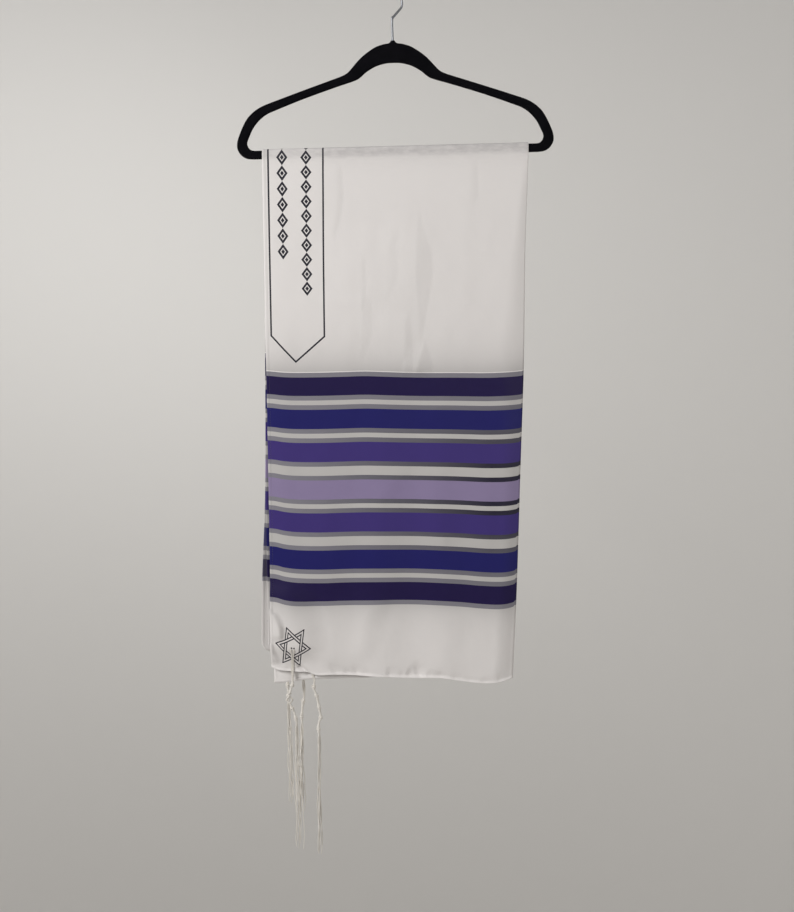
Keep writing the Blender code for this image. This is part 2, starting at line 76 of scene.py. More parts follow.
def eased(rows, at):
    """The table's other columns where its first one is at, on smooth curves through its rows."""
    places, *columns = np.array(rows, float).T
    at = np.clip(at, places[0], places[-1])
    i = np.clip(np.searchsorted(places, at) - 1, 0, len(places) - 2)
    before = np.maximum(i - 1, 0)
    after = np.minimum(i + 2, len(places) - 1)
    span = places[i + 1] - places[i]
    t = (at - places[i]) / span
    found = []
    for values in columns:
        leaving = (values[i + 1] - values[before]) / (places[i + 1] - places[before]) * span
        arriving = (values[after] - values[i]) / (places[after] - places[i]) * span
        found.append((2 * t**3 - 3 * t**2 + 1) * values[i] + (t**3 - 2 * t**2 + t) * leaving
                     + (3 * t**2 - 2 * t**3) * values[i + 1] + (t**3 - t**2) * arriving)
    return found


def linear(code):
    """A hex sRGB colour as linear RGBA."""
    parts = [int(code[n:n + 2], 16) / 255 for n in (1, 3, 5)]
    return (*(c / 12.92 if c <= 0.04045 else ((c + 0.055) / 1.055) ** 2.4 for c in parts), 1.0)


def add_node(tree, kind, inputs=(), **settings):
    """One shader node with its settings.

    Each input is a value, a socket to link, or a node, which stands for its first output.
    """
    node = tree.nodes.new("ShaderNode" + kind)
    for name, value in settings.items():
        setattr(node, name, value)
    for key, value in inputs.items() if isinstance(inputs, dict) else enumerate(inputs):
        if isinstance(value, bpy.types.Node):
            value = value.outputs[0]
        if isinstance(value, bpy.types.NodeSocket):
            tree.links.new(value, node.inputs[key])
        else:
            node.inputs[key].default_value = value
    return node


def new_material(name):
    """A material without nodes, and add_node for its tree."""
    material = bpy.data.materials.new(name)
    material.use_nodes = True
    material.node_tree.nodes.clear()
    return material, partial(add_node, material.node_tree)


def flocked_nylon():
    """Nylon flock: each fibre end scatters, so it looks dull, soft and almost black."""
    material, node = new_material("flocked_nylon")
    fibre_spacing = 0.0004     # real flock is 0.1 mm; drawn coarser to show
    place = node("TexCoord")
    fibres = node("TexNoise", {"Vector": place.outputs["Object"], "Scale": 1 / fibre_spacing,
        "Detail": 2.0})
    patches = node("TexNoise", {"Vector": place.outputs["Object"], "Scale": 1 / 0.018, "Detail": 3.0})
    tone = node("Math", [fibres, patches], operation="MULTIPLY")
    colour = node("ValToRGB", {"Fac": tone})
    colour.color_ramp.elements[0].position = 0.12
    colour.color_ramp.elements[0].color = linear("#050508")
    colour.color_ramp.elements[1].position = 0.42
    colour.color_ramp.elements[1].color = linear("#0d0c11")
    nap = node("Bump", {"Height": fibres, "Strength": 0.5, "Distance": 0.0003})
    shader = node("BsdfPrincipled", {"Base Color": colour, "Normal": nap, "Roughness": 0.95,
        "IOR": 1.53, "Specular IOR Level": 0.08, "Sheen Weight": 0.03, "Sheen Roughness": 0.5,
        "Sheen Tint": linear("#8c8a96")})
    node("OutputMaterial", [shader])
    return material


def smooth_rim(rim):
    """A half rim with points between its rows, mirrored into one closed ring."""
    at = np.linspace(0, len(rim) - 1, (len(rim) - 1) * RIM_STEPS + 1)
    half = list(zip(*eased([(n, *point) for n, point in enumerate(rim)], at)))
    return [(-x, z) for x, z in reversed(half) if x > 1e-6] + half


def lean_with_hanger(obj, lift=Vector((HANGER_X, 0.0, 0.0))):
    """Bake the hanger's lean and place into a mesh that was drawn upright."""
    obj.data.transform(Matrix.Rotation(-LEAN, 4, "Y") @ Matrix.Translation(lift))


def add_object(name, data):
    """An object in the scene that holds the data."""
    obj = bpy.data.objects.new(name, data)
    bpy.context.scene.collection.objects.link(obj)
    return obj


def mesh_of_curve(name, curve, turned=Matrix.Identity(4)):
    """The curve's filled body as a closed mesh object."""
    drawn = add_object(name + "_drawn", curve)
    bpy.context.view_layer.update()
    mesh = bpy.data.meshes.new_from_object(drawn.evaluated_get(bpy.context.evaluated_depsgraph_get()))
    bpy.data.objects.remove(drawn)
    mesh.materials.clear()
    body = bmesh.new()
    body.from_mesh(mesh)
    bmesh.ops.remove_doubles(body, verts=body.verts, dist=1e-6)
    bmesh.ops.recalc_face_normals(body, faces=body.faces)
    body.to_mesh(mesh)
    body.free()
    mesh.transform(turned)
    return add_object(name, mesh)


outline = bpy.data.curves.new("hanger_outline", "CURVE")
outline.dimensions = "2D"
outline.fill_mode = "BOTH"
outline.extrude = RAIL_THICK / 2 - RAIL_ROUND
outline.bevel_depth = RAIL_ROUND
outline.bevel_resolution = 4
outline.offset = -RAIL_ROUND
for ring in (smooth_rim(OUTER_RIM), smooth_rim(INNER_RIM)):
    spline = outline.splines.new("POLY")
    spline.points.add(len(ring) - 1)
    for point, (x, z) in zip(spline.points, ring):
        point.co = (x, z, 0.0, 1.0)
    spline.use_cyclic_u = True
hanger = mesh_of_curve("moulded_hanger", outline, Matrix.Rotation(math.pi / 2, 4, "X"))
lean_with_hanger(hanger)
hanger.data.shade_smooth()
hanger.data.set_sharp_from_angle(angle=math.radians(40))
hanger.data.materials.append(flocked_nylon())
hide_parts("hanger_frame")
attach(hanger, "root")

# ------------------------------------------------------------------ wire hook
# Zinc-plated steel wire, pushed into the boss, with a step to the right and an open crook.
# A short crimped sleeve above the boss lets it turn.

WIRE = 0.0032
HOOK_RADIUS = 0.0181
HOOK_JOG = 0.0142
SHAFT_FOOT = BOSS_TOP - 0.0157
STEP_LOW = -0.0375
STEP_HIGH = -0.0225
STEP_EASE = 0.0022
CROOK_TURN = 150              # degrees of the crook
WIRE_SIDES = 24
SHANK_TOP = -0.0610           # the wire is a little thicker below this


def plated_wire():
    """Zinc-plated steel wire: grey and half bright, with a faint drawn grain along it."""
    material, node = new_material("plated_wire")
    place = node("TexCoord")
    along = node("Mapping", {"Vector": place.outputs["Object"], "Scale": (4000.0, 4000.0, 120.0)})
    grain = node("TexNoise", {"Vector": along, "Scale": 1.0})
    gloss = node("MapRange", {"Value": grain, "To Min": 0.34, "To Max": 0.48})
    shader = node("BsdfPrincipled", {"Base Color": linear("#808286"), "Metallic": 1.0,
        "Roughness": gloss})
    node("OutputMaterial", [shader])
    return material


def hook_line():
    """The wire's middle line from its foot in the boss to the tip, in the hanger's plane."""
    right = HANGER_X + HOOK_JOG
    corner = 0.0008
    bends = [(HANGER_X, SHAFT_FOOT), (HANGER_X, STEP_LOW - STEP_EASE),
             (HANGER_X + corner, STEP_LOW), (HANGER_X + STEP_EASE, STEP_LOW + STEP_EASE),
             (right - STEP_EASE, STEP_HIGH - STEP_EASE), (right - corner, STEP_HIGH),
             (right, STEP_HIGH + STEP_EASE)]
    middle = WIRE / 2 - HOOK_RADIUS
    for degrees in range(0, CROOK_TURN + 1, 6):
        angle = math.radians(degrees)
        bends.append((right + HOOK_RADIUS * (math.cos(angle) - 1),
                      middle + HOOK_RADIUS * math.sin(angle)))
    at = np.concatenate([np.linspace(0, 7, 57)[:-1], np.arange(7, len(bends))])
    return list(zip(*eased([(n, *bend) for n, bend in enumerate(bends)], at)))


line = hook_line()
wire_curve = bpy.data.curves.new("hook_wire", "CURVE")
wire_curve.dimensions = "3D"
wire_curve.bevel_depth = WIRE / 2
wire_curve.bevel_resolution = WIRE_SIDES // 2 - 2
wire_curve.use_fill_caps = True
spline = wire_curve.splines.new("POLY")
tip_steps = ((0.0007, 0.90), (0.0012, 0.66), (0.0015, 0.30))   # past the end, share of radius
last, before = Vector((*line[-1], 0.0)), Vector((*line[-2], 0.0))
ahead = (last - before).normalized()
points = [(x, z, 1.12 if z < SHANK_TOP else 1.0) for x, z in line]
points += [(*(last + ahead * reach)[:2], share) for reach, share in tip_steps]
spline.points.add(len(points) - 1)
for point, (x, z, share) in zip(spline.points, points):
    point.co = (x, 0.0, z, 1.0)
    point.radius = share
hook = mesh_of_curve("wire_hook", wire_curve)
lean_with_hanger(hook, Vector((0.0, 0.0, 0.0)))
hook.data.shade_smooth()
hook.data.materials.append(plated_wire())
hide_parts("hanger_hook")
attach(hook, "root")

# ------------------------------------------------------------------ satin sheet
# One rectangle of white polyester satin, dye-printed on its right side and hemmed all
# round. It is folded in half along its length, fold to the right and right side out,
# and hung over the trouser bar: front pair of layers at -Y, back pair at +Y.

SHEET_WIDTH = 0.752
HALF = SHEET_WIDTH / 2
SATIN = 0.00035               # the satin's own thickness
HEM_FLAT = 0.0010             # thickness of the turned hem
HEM_TALL = 0.0032             # the hem's last millimetres stand off the hang by HEM_FLARE
HEM_FLARE = 0.0010
HEM_LINES = [0.0, 0.0008, 0.0022, 0.0036, 0.0044, 0.0054, 0.0078]   # grid lines, from the edge
FOLD_SHARE = 0.985            # the layers are flat up to here, then turn round the fold
FOLD_STEPS = 8
OVER_STEPS = 12
CURL_REACH = 0.07
POCKET_START = 0.68
FACET_EASE = 0.70             # share of the facet beside the fold in which it steepens


def from_mm(kind, rows):
    """Rows of millimetres as named tuples in metres."""
    return [kind(*(size / 1000 for size in row)) for row in rows]


# Millimetres, one row for each drop below the bar.
Section = namedtuple("Section", "drop selvage fold stand_off curl gap loop tuck facet roll")
FRONT_HANG = from_mm(Section, (
    (0, -180, 196, 3.95, 0, 0.5, 0.6, 0, 4, 0), (12, -180, 196, 3.95, 0, 0.5, 0.8, 0, 4, 0),
    (21, -180, 195.7, 3.6, 0, 0.7, 1, 0, 5, 0.1), (60, -179.8, 194.8, 4.2, 0.2, 0.9, 1.5, 0.2, 10, 1.2),
    (150, -179.3, 192.3, 6, 0.5, 1.2, 2.2, 0.4, 20, 2.7),
    (300, -178.4, 191.1, 8.6, 1, 1.5, 3, 0.8, 32, 4),
    (450, -177.5, 186.8, 11.4, 1.4, 1.7, 3.6, 1.4, 26, 4),
    (600, -177, 182.7, 14, 1.7, 1.9, 4.1, 2.2, 24, 4.2),
    (690, -176.9, 179.8, 15.1, 1.9, 2, 4.4, 2.8, 28, 5.6),
    (770, -176.8, 176.3, 16, 2, 2, 4.6, 3.4, 31, 6)))
BACK_HANG = from_mm(Section, (
    (0, -180, 196, 3.95, 0, 0.5, 0.6, 0, 4, 0), (12, -180, 196, 3.95, 0, 0.5, 0.8, 0, 4, 0),
    (21, -180, 195.5, 3.6, 0, 0.7, 1, 0, 5, 0.1), (60, -179.8, 194, 4.2, 0.2, 0.9, 1.5, 0, 12, 0.4),
    (150, -180, 190.5, 5.7, 0.4, 1.2, 2.2, 0, 26, 1),
    (330, -182.2, 185, 8.2, 0.8, 1.5, 3, 0.2, 36, 1.8),
    (500, -186, 178.5, 10.8, 1.2, 1.7, 3.6, 2, 34, 3),
    (620, -192.2, 173, 12.6, 1.5, 1.9, 4.1, 8.2, 28, 3.6),
    (740, -195.2, 169, 14.2, 1.8, 2, 4.4, 10.7, 32, 4.2)))

Hem = namedtuple("Hem", "across outer inner")
FRONT_HEM = [Hem(*row) for row in ((0.00, -0.9591, -0.9841), (0.03, -0.9633, -0.9838),
    (0.08, -0.9648, -0.9816), (0.14, -0.9670, -0.9785), (0.19, -0.9710, -0.9776),
    (0.25, -0.9706, -0.9778), (0.36, -0.9720, -0.9770), (0.45, -0.9742, -0.9748),
    (0.58, -0.9764, -0.9738), (0.70, -0.9767, -0.9745), (0.78, -0.9812, -0.9765),
    (0.87, -0.9846, -0.9790), (0.93, -0.9843, -0.9800), (1.00, -0.9792, -0.9792))]
BACK_HEM = [Hem(*row) for row in ((0.000, -0.9335, -0.9330), (0.012, -0.9405, -0.9345),
    (0.030, -0.9436, -0.9355), (0.08, -0.9420, -0.9355), (0.30, -0.9350, -0.9315),
    (0.55, -0.9278, -0.9250), (0.80, -0.9190, -0.9168), (0.92, -0.9155, -0.9130),
    (1.00, -0.9120, -0.9120))]

# Large upright folds, as shares of the width and metres of depth and drop.
Fold = namedtuple("Fold", "across reach depth begins drift")
FRONT_FOLDS = [Fold(*row) for row in ((0.20, 0.11, 0.0008, 0.42, 0.02),
    (0.33, 0.10, -0.0009, 0.30, 0.00), (0.45, 0.11, 0.0011, 0.12, -0.02),
    (0.56, 0.09, -0.0010, 0.03, 0.02), (0.67, 0.10, 0.0009, 0.14, 0.03),
    (0.77, 0.08, -0.0007, 0.38, 0.02))]
BACK_FOLDS = [Fold(*row) for row in ((0.18, 0.12, 0.0014, 0.30, -0.02),
    (0.31, 0.10, -0.0012, 0.16, 0.02), (0.44, 0.12, 0.0016, 0.06, 0.00),
    (0.58, 0.11, -0.0014, 0.20, -0.03), (0.71, 0.10, 0.0012, 0.34, 0.00))]

# Listed creases. Each follows its spots from top to bottom, in millimetres: the ridge's
# x, z and how wide the satin falls away on the right of it. On the left it rises to the
# ridge over a longer way. A negative slope is the mirror image.
SOFT, EVEN, CRISP = 0, 1, 2   # how the fall begins and ends; a crisp one ends abruptly
Crease = namedtuple("Crease", "slope rise edge spots")
FRONT_CREASES = [Crease(slope, rise, edge, np.array(spots) / 1000)
                 for slope, rise, edge, spots in (
    (0.115, 0.150, EVEN, ((41.9, -289, 0.7), (41.1, -305, 1.1), (39.6, -319, 5), (38.7, -337, 11.5),
        (37.2, -358, 21), (36.4, -382, 23.8), (36.8, -407, 22.2), (38.5, -431, 15.8), (40.6, -457, 8.6),
        (42.6, -496, 1.4))),
    (0.150, 0.022, EVEN, ((49, -482, 0.7), (46.1, -497, 7.2), (38.2, -523, 21.5), (36, -539, 24.4))),
    (0.110, 0.090, EVEN, ((22.1, -445, 4.3), (20.5, -471, 10), (20.2, -539, 11.5))),
    (0.090, 0.120, CRISP, ((6.4, -322, 7.2), (-1.5, -342, 11.5), (-8, -357, 11.5), (-1, -375, 11.5),
        (0.6, -389, 11.5), (-6.2, -414, 8.6), (-10.6, -437, 1.4))),
    (0.150, 0.100, CRISP, ((-40.5, -358, 2.9), (-42.1, -375, 6.5), (-42.5, -425, 7.2),
        (-43.4, -445, 2.9))),
    (0.080, 0.120, EVEN, ((-38.9, -417, 5.7), (-40.5, -434, 12.9), (-40.8, -478, 14.4),
        (-44, -522, 1.4))),
    (0.150, 0.120, CRISP, ((-79.5, -230, 5.7), (-77.6, -243, 8.6), (-75.1, -280, 8.6), (-79, -312, 8.6),
        (-85, -344, 4.3))),
    (0.120, 0.100, CRISP, ((114.4, -226, 8.6), (114.5, -282, 10), (113.1, -300, 2.9))),
    (0.090, 0.030, EVEN, ((34.1, -650, 8.6), (-22.6, -730, 8.6))),
    (0.090, 0.030, EVEN, ((59.9, -701, 8.6), (80.1, -791, 8.6))),
    (0.060, 0.040, SOFT, ((136.5, -672, 17.2), (138.2, -804, 17.2))),
    (0.260, 0.600, SOFT, ((-151.4, -824, 45.9), (-150.7, -875, 51.7), (-146.6, -897, 54.5),
        (-139.6, -921, 48.8), (-134.3, -957, 40.2))),
    (0.095, 0.150, SOFT, ((-26.3, -840, 37.3), (-32.4, -871, 37.3), (-45.8, -899, 37.3),
        (-47.4, -921, 37.3), (-56.4, -945, 34.4), (-59.6, -969, 31.6))),
    (0.045, 0.050, SOFT, ((96, -868, 34.4), (94.5, -922, 34.4), (101.9, -976, 28.7))),
    (0.050, 0.022, EVEN, ((150.7, -863, 11.5), (151, -945, 11.5), (145.9, -979, 11.5))),
    (0.750, 0.020, EVEN, ((-198.4, -849, 5.7), (-188.4, -861, 5.7), (-180.4, -872, 7.2),
        (-171.2, -880, 7.2), (-164.1, -895, 7.2), (-162.1, -909, 5.7), (-161.6, -921, 1.4))),
    (0.600, 0.014, EVEN, ((-179.8, -914, 2.9), (-177, -925, 5), (-171.9, -941, 5), (-165.1, -956, 5))),
)]
BACK_CREASES = [Crease(slope, rise, edge, np.array(spots) / 1000)
                for slope, rise, edge, spots in (
    (0.095, 0.056, CRISP, ((-52, -290, 4), (-60, -410, 13))),
    (0.080, 0.064, EVEN, ((-60, -390, 13), (-57, -540, 18))),
    (-0.095, 0.056, CRISP, ((49, -235, 11), (50, -335, 8))),
    (0.085, 0.064, CRISP, ((93, -320, 9), (89, -480, 15))),
    (0.090, 0.045, CRISP, ((-108, -245, 7), (-112, -345, 9))),
    (0.080, 0.056, CRISP, ((131, -225, 10), (128, -305, 10))),
    (-0.060, 0.048, CRISP, ((-82, -600, 8), (-27, -690, 8))),
    (0.080, 0.048, EVEN, ((35, -560, 12), (42, -670, 12))),
    (0.080, 0.048, EVEN, ((115, -640, 15), (108, -770, 12))),
    (0.090, 0.064, EVEN, ((-65, -820, 24), (-80, -930, 20))),
    (0.060, 0.064, EVEN, ((65, -800, 18), (60, -920, 16))),
    (-0.060, 0.064, EVEN, ((141, -790, 16), (138, -910, 16))),
)]

# Narrow sunk lines beside the corner's pleat: depth, half width, (x, z) spots.
Groove = namedtuple("Groove", "depth half spots")
FRONT_GROOVES = [Groove(0.0042, 0.0046, ((-0.1363, -0.9583), (-0.1283, -0.9643), (-0.1182, -0.9718)))]
BACK_GROOVES = [Groove(0.0020, 0.0045, ((-0.1480, -0.905), (-0.1370, -0.918), (-0.1260, -0.930)))]

# Small puckers where the hem's thread draws in, in millimetres. The satin falls into each
# over 8 mm from its left and comes out again over 24 mm.
PUCKER_FALL = 0.0080
PUCKER_RETURN = 0.0240
Pucker = namedtuple("Pucker", "x height slant depth")
FRONT_PUCKERS = from_mm(Pucker, (
    (-152, 12, 3, 1.2), (-80, 18, -14, 2), (-66, 10, 0, 1.4), (-50, 17, -7, 2),
    (-39, 11, 0, 1.2), (-4, 16, 1, 1.9), (13, 12, 3, 1.2), (24, 20, 6, 1.9), (40, 26, -6, 2.4),
    (55, 14, 2, 1.7), (63, 10, 1, 1.2), (71.5, 11, -2, 1.5), (92, 11, 1, 1.4), (113.5, 9, 0, 1.2),
    (133, 9, 2, 1), (159, 14, -3, 1.5)))
BACK_PUCKERS = [Pucker(0.021 * n - 0.165 + 0.004 * math.sin(3.1 * n),
                       0.013 + 0.006 * math.sin(1.9 * n), 0.004 * math.sin(2.3 * n),
                       0.0008 + 0.0003 * math.sin(4.7 * n)) for n in range(16)]

# Where the printed stripes lie on each hang, from the selvage (0) to the fold (1).
Lay = namedtuple("Lay", "across first last")
FRONT_LAY = [Lay(*row) for row in ((0.000, -0.5270, -0.8600), (0.028, -0.5278, -0.8612),
    (0.060, -0.5290, -0.8645), (0.110, -0.5297, -0.8671), (0.200, -0.5296, -0.8682),
    (0.290, -0.5290, -0.8676), (0.380, -0.5282, -0.8672), (0.450, -0.5291, -0.8669),
    (0.540, -0.5303, -0.8670), (0.620, -0.5309, -0.8676), (0.700, -0.5310, -0.8690),
    (0.780, -0.5313, -0.8712), (0.850, -0.5315, -0.8736), (0.910, -0.5308, -0.8749),
    (0.950, -0.5300, -0.8745), (0.980, -0.5290, -0.8728), (1.000, -0.5280, -0.8700))]
BACK_LAY = [Lay(*row) for row in ((0.00, -0.5010, -0.8375), (0.12, -0.5002, -0.8378),
    (0.35, -0.4935, -0.8310), (0.60, -0.4868, -0.8235), (0.85, -0.4800, -0.8160),
    (1.00, -0.4775, -0.8140))]
STRIPES_START = 0.3033        # from the middle of the sheet's length, on either side
STRIPES_END = 0.6404
HOLES_ACROSS = 0.0343         # middle of a corner's two holes, from the selvage
HOLES_ALONG = 0.7027
EYELET_LINES = (0.0309, 0.0349)     # the grid line before each hole, from the selvage
OVER_BAR = 0.0138             # length of satin round the bar's top edge
BAR_SHIFT_LEFT = 0.0140       # the sheet's middle hangs this far down the front
BAR_SHIFT_RIGHT = 0.0265

Hang = namedtuple("Hang", "side sections hem folds creases grooves puckers lay spacings finest")
FRONT = Hang(-1, FRONT_HANG, FRONT_HEM, FRONT_FOLDS, FRONT_CREASES, FRONT_GROOVES,
             FRONT_PUCKERS, FRONT_LAY, ((0.33, 0.0045), (0.64, 0.0100)), 0.0036)
BACK = Hang(1, BACK_HANG, BACK_HEM, BACK_FOLDS, BACK_CREASES, BACK_GROOVES,
            BACK_PUCKERS, BACK_LAY, ((0.60, 0.0125),), 0.0060)


def smooth(t):
    """Ease from 0 to 1."""
    t = np.clip(t, 0.0, 1.0)
    return t * t * (3.0 - 2.0 * t)


def hump(t):
    """A soft bump: 1 at 0, down to 0 at -1 and 1."""
    return np.cos(np.clip(t, -1.0, 1.0) * np.pi / 2) ** 2


def bar_axis(x):
    """Height of the middle of the bar's round top edge, along the leaning bar."""
    return (BAR_TOP - RAIL_THICK / 2) / math.cos(LEAN) + x * math.tan(LEAN)


def hem_height(hang, across, turn):
    """Height of the hem of the outer layer (turn 1), the inner one (-1) or between them."""
    outer, inner = eased(hang.hem, across)
    return (outer + inner) / 2 + turn * (outer - inner) / 2


def fold_relief(hang, across, drop):
    """The large upright folds, deeper towards the hem."""
    total = 0.0
    deepest = hang.sections[-1].drop
    for fold in hang.folds:
        grown = smooth((drop - fold.begins) / (deepest - fold.begins))
        total += fold.depth * grown * hump((across - fold.across - fold.drift * drop / deepest)
                                           / fold.reach)
    return total


def along_spots(spots, z):
    """The spots' x and widths at heights z, and a fade to 0 beyond both ends."""
    line, wide = (np.interp(-z, -spots[:, 1], spots[:, k]) for k in (0, 2))
    top, low = spots[0, 1], spots[-1, 1]
    fade = min(max(0.010, spots[:, 2].max()), 0.25 * (top - low))
    return line, wide, smooth((top - z) / fade) * smooth((z - low) / fade)


def line_distance(x, z, spots):
    """Distance of the places (x, z) from the line through the spots."""
    nearest = np.full(x.shape, np.inf)
    for (x0, z0), (x1, z1) in zip(spots, spots[1:]):
        run, fall = x1 - x0, z1 - z0
        share = np.clip(((x - x0) * run + (z - z0) * fall) / (run**2 + fall**2), 0.0, 1.0)
        nearest = np.minimum(nearest, np.hypot(x - x0 - share * run, z - z0 - share * fall))
    return nearest


def crease_relief(hang, x, z, above_hem):
    """The listed creases, the hem's puckers and the satin's slight unevenness."""
    total = np.zeros_like(x)
    for crease in hang.creases:
        ridge, wide, ends = along_spots(crease.spots, z)
        beside = (x - ridge) * math.copysign(1.0, crease.slope)
        share = np.clip(beside / wide, 0.0, 1.0)
        fallen = smooth(share) if crease.edge == SOFT else share ** crease.edge
        high = abs(crease.slope) * wide / (crease.edge or 1.5)
        rising = np.clip(1 + beside / crease.rise, 0.0, 1.0)
        total += high * ends * np.where(beside < 0, rising, 1 - fallen)
    for groove in hang.grooves:
        total -= groove.depth * hump(line_distance(x, z, groove.spots) / groove.half)
    for pucker in hang.puckers:
        rise = above_hem / pucker.height
        beside = x - pucker.x - pucker.slant * rise
        sunk = np.where(beside < 0, smooth(1 + beside / PUCKER_FALL),
                        np.clip(1 - beside / PUCKER_RETURN, 0.0, 1.0))
        total -= pucker.depth * sunk * smooth(1.2 - rise) * smooth(rise * 4 + 0.3)
    uneven = (np.sin(71 * x + 13 * z + 0.6) * np.sin(23 * z - 9 * x)
              + 0.6 * np.sin(143 * x - 31 * z + 2.0) * np.sin(37 * z + 1.1)
              + 0.4 * np.sin(210 * x + 57 * z) * np.sin(61 * z - 17 * x + 0.7))
    return total + 0.00018 * uneven * smooth((bar_axis(0.0) - z) / 0.12)


def hung_sheet(hang, across, turn, fraction):
    """Points of the folded sheet below the bar, and their places on the flat sheet.

    across runs from the selvages (0) to the fold (1), turn from the outer layer (1) to
    the inner one (-1), fraction from the bar (0) to the hem (1). All are arrays.
    """
    hem = hem_height(hang, across, turn)
    drop = fraction * (bar_axis(0.0) - hem)
    selvage, fold, stand_off, curl, gap, loop, tuck, facet, roll = eased(hang.sections, drop)
    run = np.minimum(across, FOLD_SHARE) / FOLD_SHARE
    bend = np.where(across > FOLD_SHARE, np.sqrt(np.maximum(1 - turn**2, 0.0)), 0.0)
    left = selvage + tuck * (1 - turn) / 2
    level_x = left + (fold - loop - left) * run
    x = level_x + loop * bend
    z = (1 - fraction) * bar_axis(x) + fraction * hem
    half = gap + (loop - gap) * smooth((across - POCKET_START) / (FOLD_SHARE - POCKET_START))
    on_facet = np.clip((level_x - fold + facet) / (facet - loop), 0.0, 1.0)
    fallen = np.where(on_facet < FACET_EASE, on_facet**2 / (2 * FACET_EASE),
                      on_facet - FACET_EASE / 2) / (1 - FACET_EASE / 2)
    relief = fold_relief(hang, across, drop)
    relief += crease_relief(hang, x, z, z - hem) * smooth((drop - 0.013) / 0.02)
    relief *= np.clip((fold - x) / 0.02, 0.0, 1.0)
    away = (stand_off - curl * np.maximum(1 - across / CURL_REACH, 0.0) ** 2 + relief
            - (half - gap) - roll * fallen + turn * half)
    away += HEM_FLARE * smooth(1 - (z - hem) / HEM_TALL) * turn
    shift = BAR_SHIFT_LEFT + (BAR_SHIFT_RIGHT - BAR_SHIFT_LEFT) * across
    at_bar = OVER_BAR / 2 + hang.side * shift
    first, last = eased(hang.lay, across)
    level = bar_axis(x)
    flat = np.where(
        z > first, at_bar + (level - z) / (level - first) * (STRIPES_START - at_bar), np.where(
            z > last,
            STRIPES_START + (first - z) / (first - last) * (STRIPES_END - STRIPES_START),
            STRIPES_END + (last - z)))
    return np.stack([x, hang.side * away, z], -1), -hang.side * flat


def sheet_columns():
    """(across, turn, place on the sheet's width) of each grid line."""
    # Lines 2.4 mm apart across the star, with closer ones round its two holes.
    star = list(np.arange(0.0100, 0.0295, 0.0024)) + [0.0309, 0.0325, 0.0337, 0.0349, 0.0365]
    star += list(np.arange(0.0389, 0.0680, 0.0024))
    outer = HEM_LINES + star + list(np.linspace(0.0700, FOLD_SHARE * HALF, 134))
    inner = HEM_LINES + list(np.linspace(0.0120, 0.068, 9))
    inner += list(np.linspace(0.0780, FOLD_SHARE * HALF, 16))
    columns = [(u / HALF, 1.0, u) for u in outer]
    for n in range(1, FOLD_STEPS):
        share = n / FOLD_STEPS
        columns.append((1.0, math.cos(math.pi * share),
                        HALF * (FOLD_SHARE + 2 * (1 - FOLD_SHARE) * share)))
    columns += [(u / HALF, -1.0, SHEET_WIDTH - u) for u in reversed(inner)]
    return np.array(columns)


def hang_fractions(hang):
    """Rows from the bar (0) to the hem (1), closest near both."""
    length = bar_axis(0.0) - hem_height(hang, 0.0, 1)
    near = [0.0, 0.003, 0.006, 0.009, 0.012, 0.016, 0.020, 0.026, 0.033, 0.041, 0.050]
    rises = [0.0425, 0.0390, 0.0357, 0.0337, 0.0310, 0.0280, 0.0245, 0.0210, 0.0175, 0.0140,
             0.0108] + HEM_LINES[::-1]
    last = [length - rise for rise in rises]
    ends = [near[-1]] + [drop for drop, _ in hang.spacings] + [last[0]]
    middle = []
    for start, end, spacing in zip(ends, ends[1:], [s for _, s in hang.spacings] + [hang.finest]):
        steps = int(round((end - start) / spacing))
        middle += list(np.linspace(start, end, steps + 1)[1:])
    return np.array(near + middle[:-1] + last) / length


def sheet_grid():
    """Middle surface of the sheet (rows x columns x 3), its flat places and the bar's painted shade."""
    columns = sheet_columns()
    across, turn, width_at = columns.T
    parts = []
    for hang in (FRONT, BACK):
        fraction = hang_fractions(hang)
        grid = np.meshgrid(across, fraction)
        turns = np.broadcast_to(turn, grid[0].shape)
        parts.append((hung_sheet(hang, grid[0], turns, grid[1]), fraction))
    (front, front_flat), front_rows = parts[0]
    (back, back_flat), back_rows = parts[1]
    start, start_flat = front[0], front_flat[0]
    over, over_flat = [], []
    for n in range(1, OVER_STEPS):
        angle = math.pi * n / OVER_STEPS
        radius = -start[:, 1]
        over.append(np.stack([start[:, 0], -radius * math.cos(angle),
                              start[:, 2] + radius * math.sin(angle)], -1))
        over_flat.append(start_flat + (back_flat[0] - start_flat) * n / OVER_STEPS)
    points = np.concatenate([front[::-1], np.array(over), back])
    length_at = np.concatenate([front_flat[::-1], np.array(over_flat), back_flat])
    drop = np.abs(points[..., 2] - bar_axis(points[..., 0]))
    bar_depth = BAR_TOP - BAR_BOTTOM - RAIL_THICK / 2
    # The bar's painted shade is full on the bar, fades below it, and is weaker on the left.
    on_bar = 0.30 + 0.70 * smooth((bar_depth + 0.0045 - drop) / 0.009)
    on_bar *= 0.65 + 0.35 * smooth((points[..., 0] + 0.125) / 0.05)
    on_bar *= np.exp(-np.maximum(drop - bar_depth, 0.0) / 0.014)
    return points, width_at, length_at, on_bar, (front_rows, back_rows)


def edge_distance(width_at, rows):
    """Distance of each grid point from the nearest edge of the sheet, along the sheet."""
    front_rows, back_rows = rows
    front_length = bar_axis(0.0) - hem_height(FRONT, 0.0, 1)
    back_length = bar_axis(0.0) - hem_height(BACK, 0.0, 1)
    from_hem = np.concatenate([((1 - front_rows) * front_length)[::-1],
                               np.full(OVER_STEPS - 1, 1.0), (1 - back_rows) * back_length])
    from_selvage = np.minimum(width_at, SHEET_WIDTH - width_at)
    return np.minimum(from_hem[:, None], from_selvage[None, :])


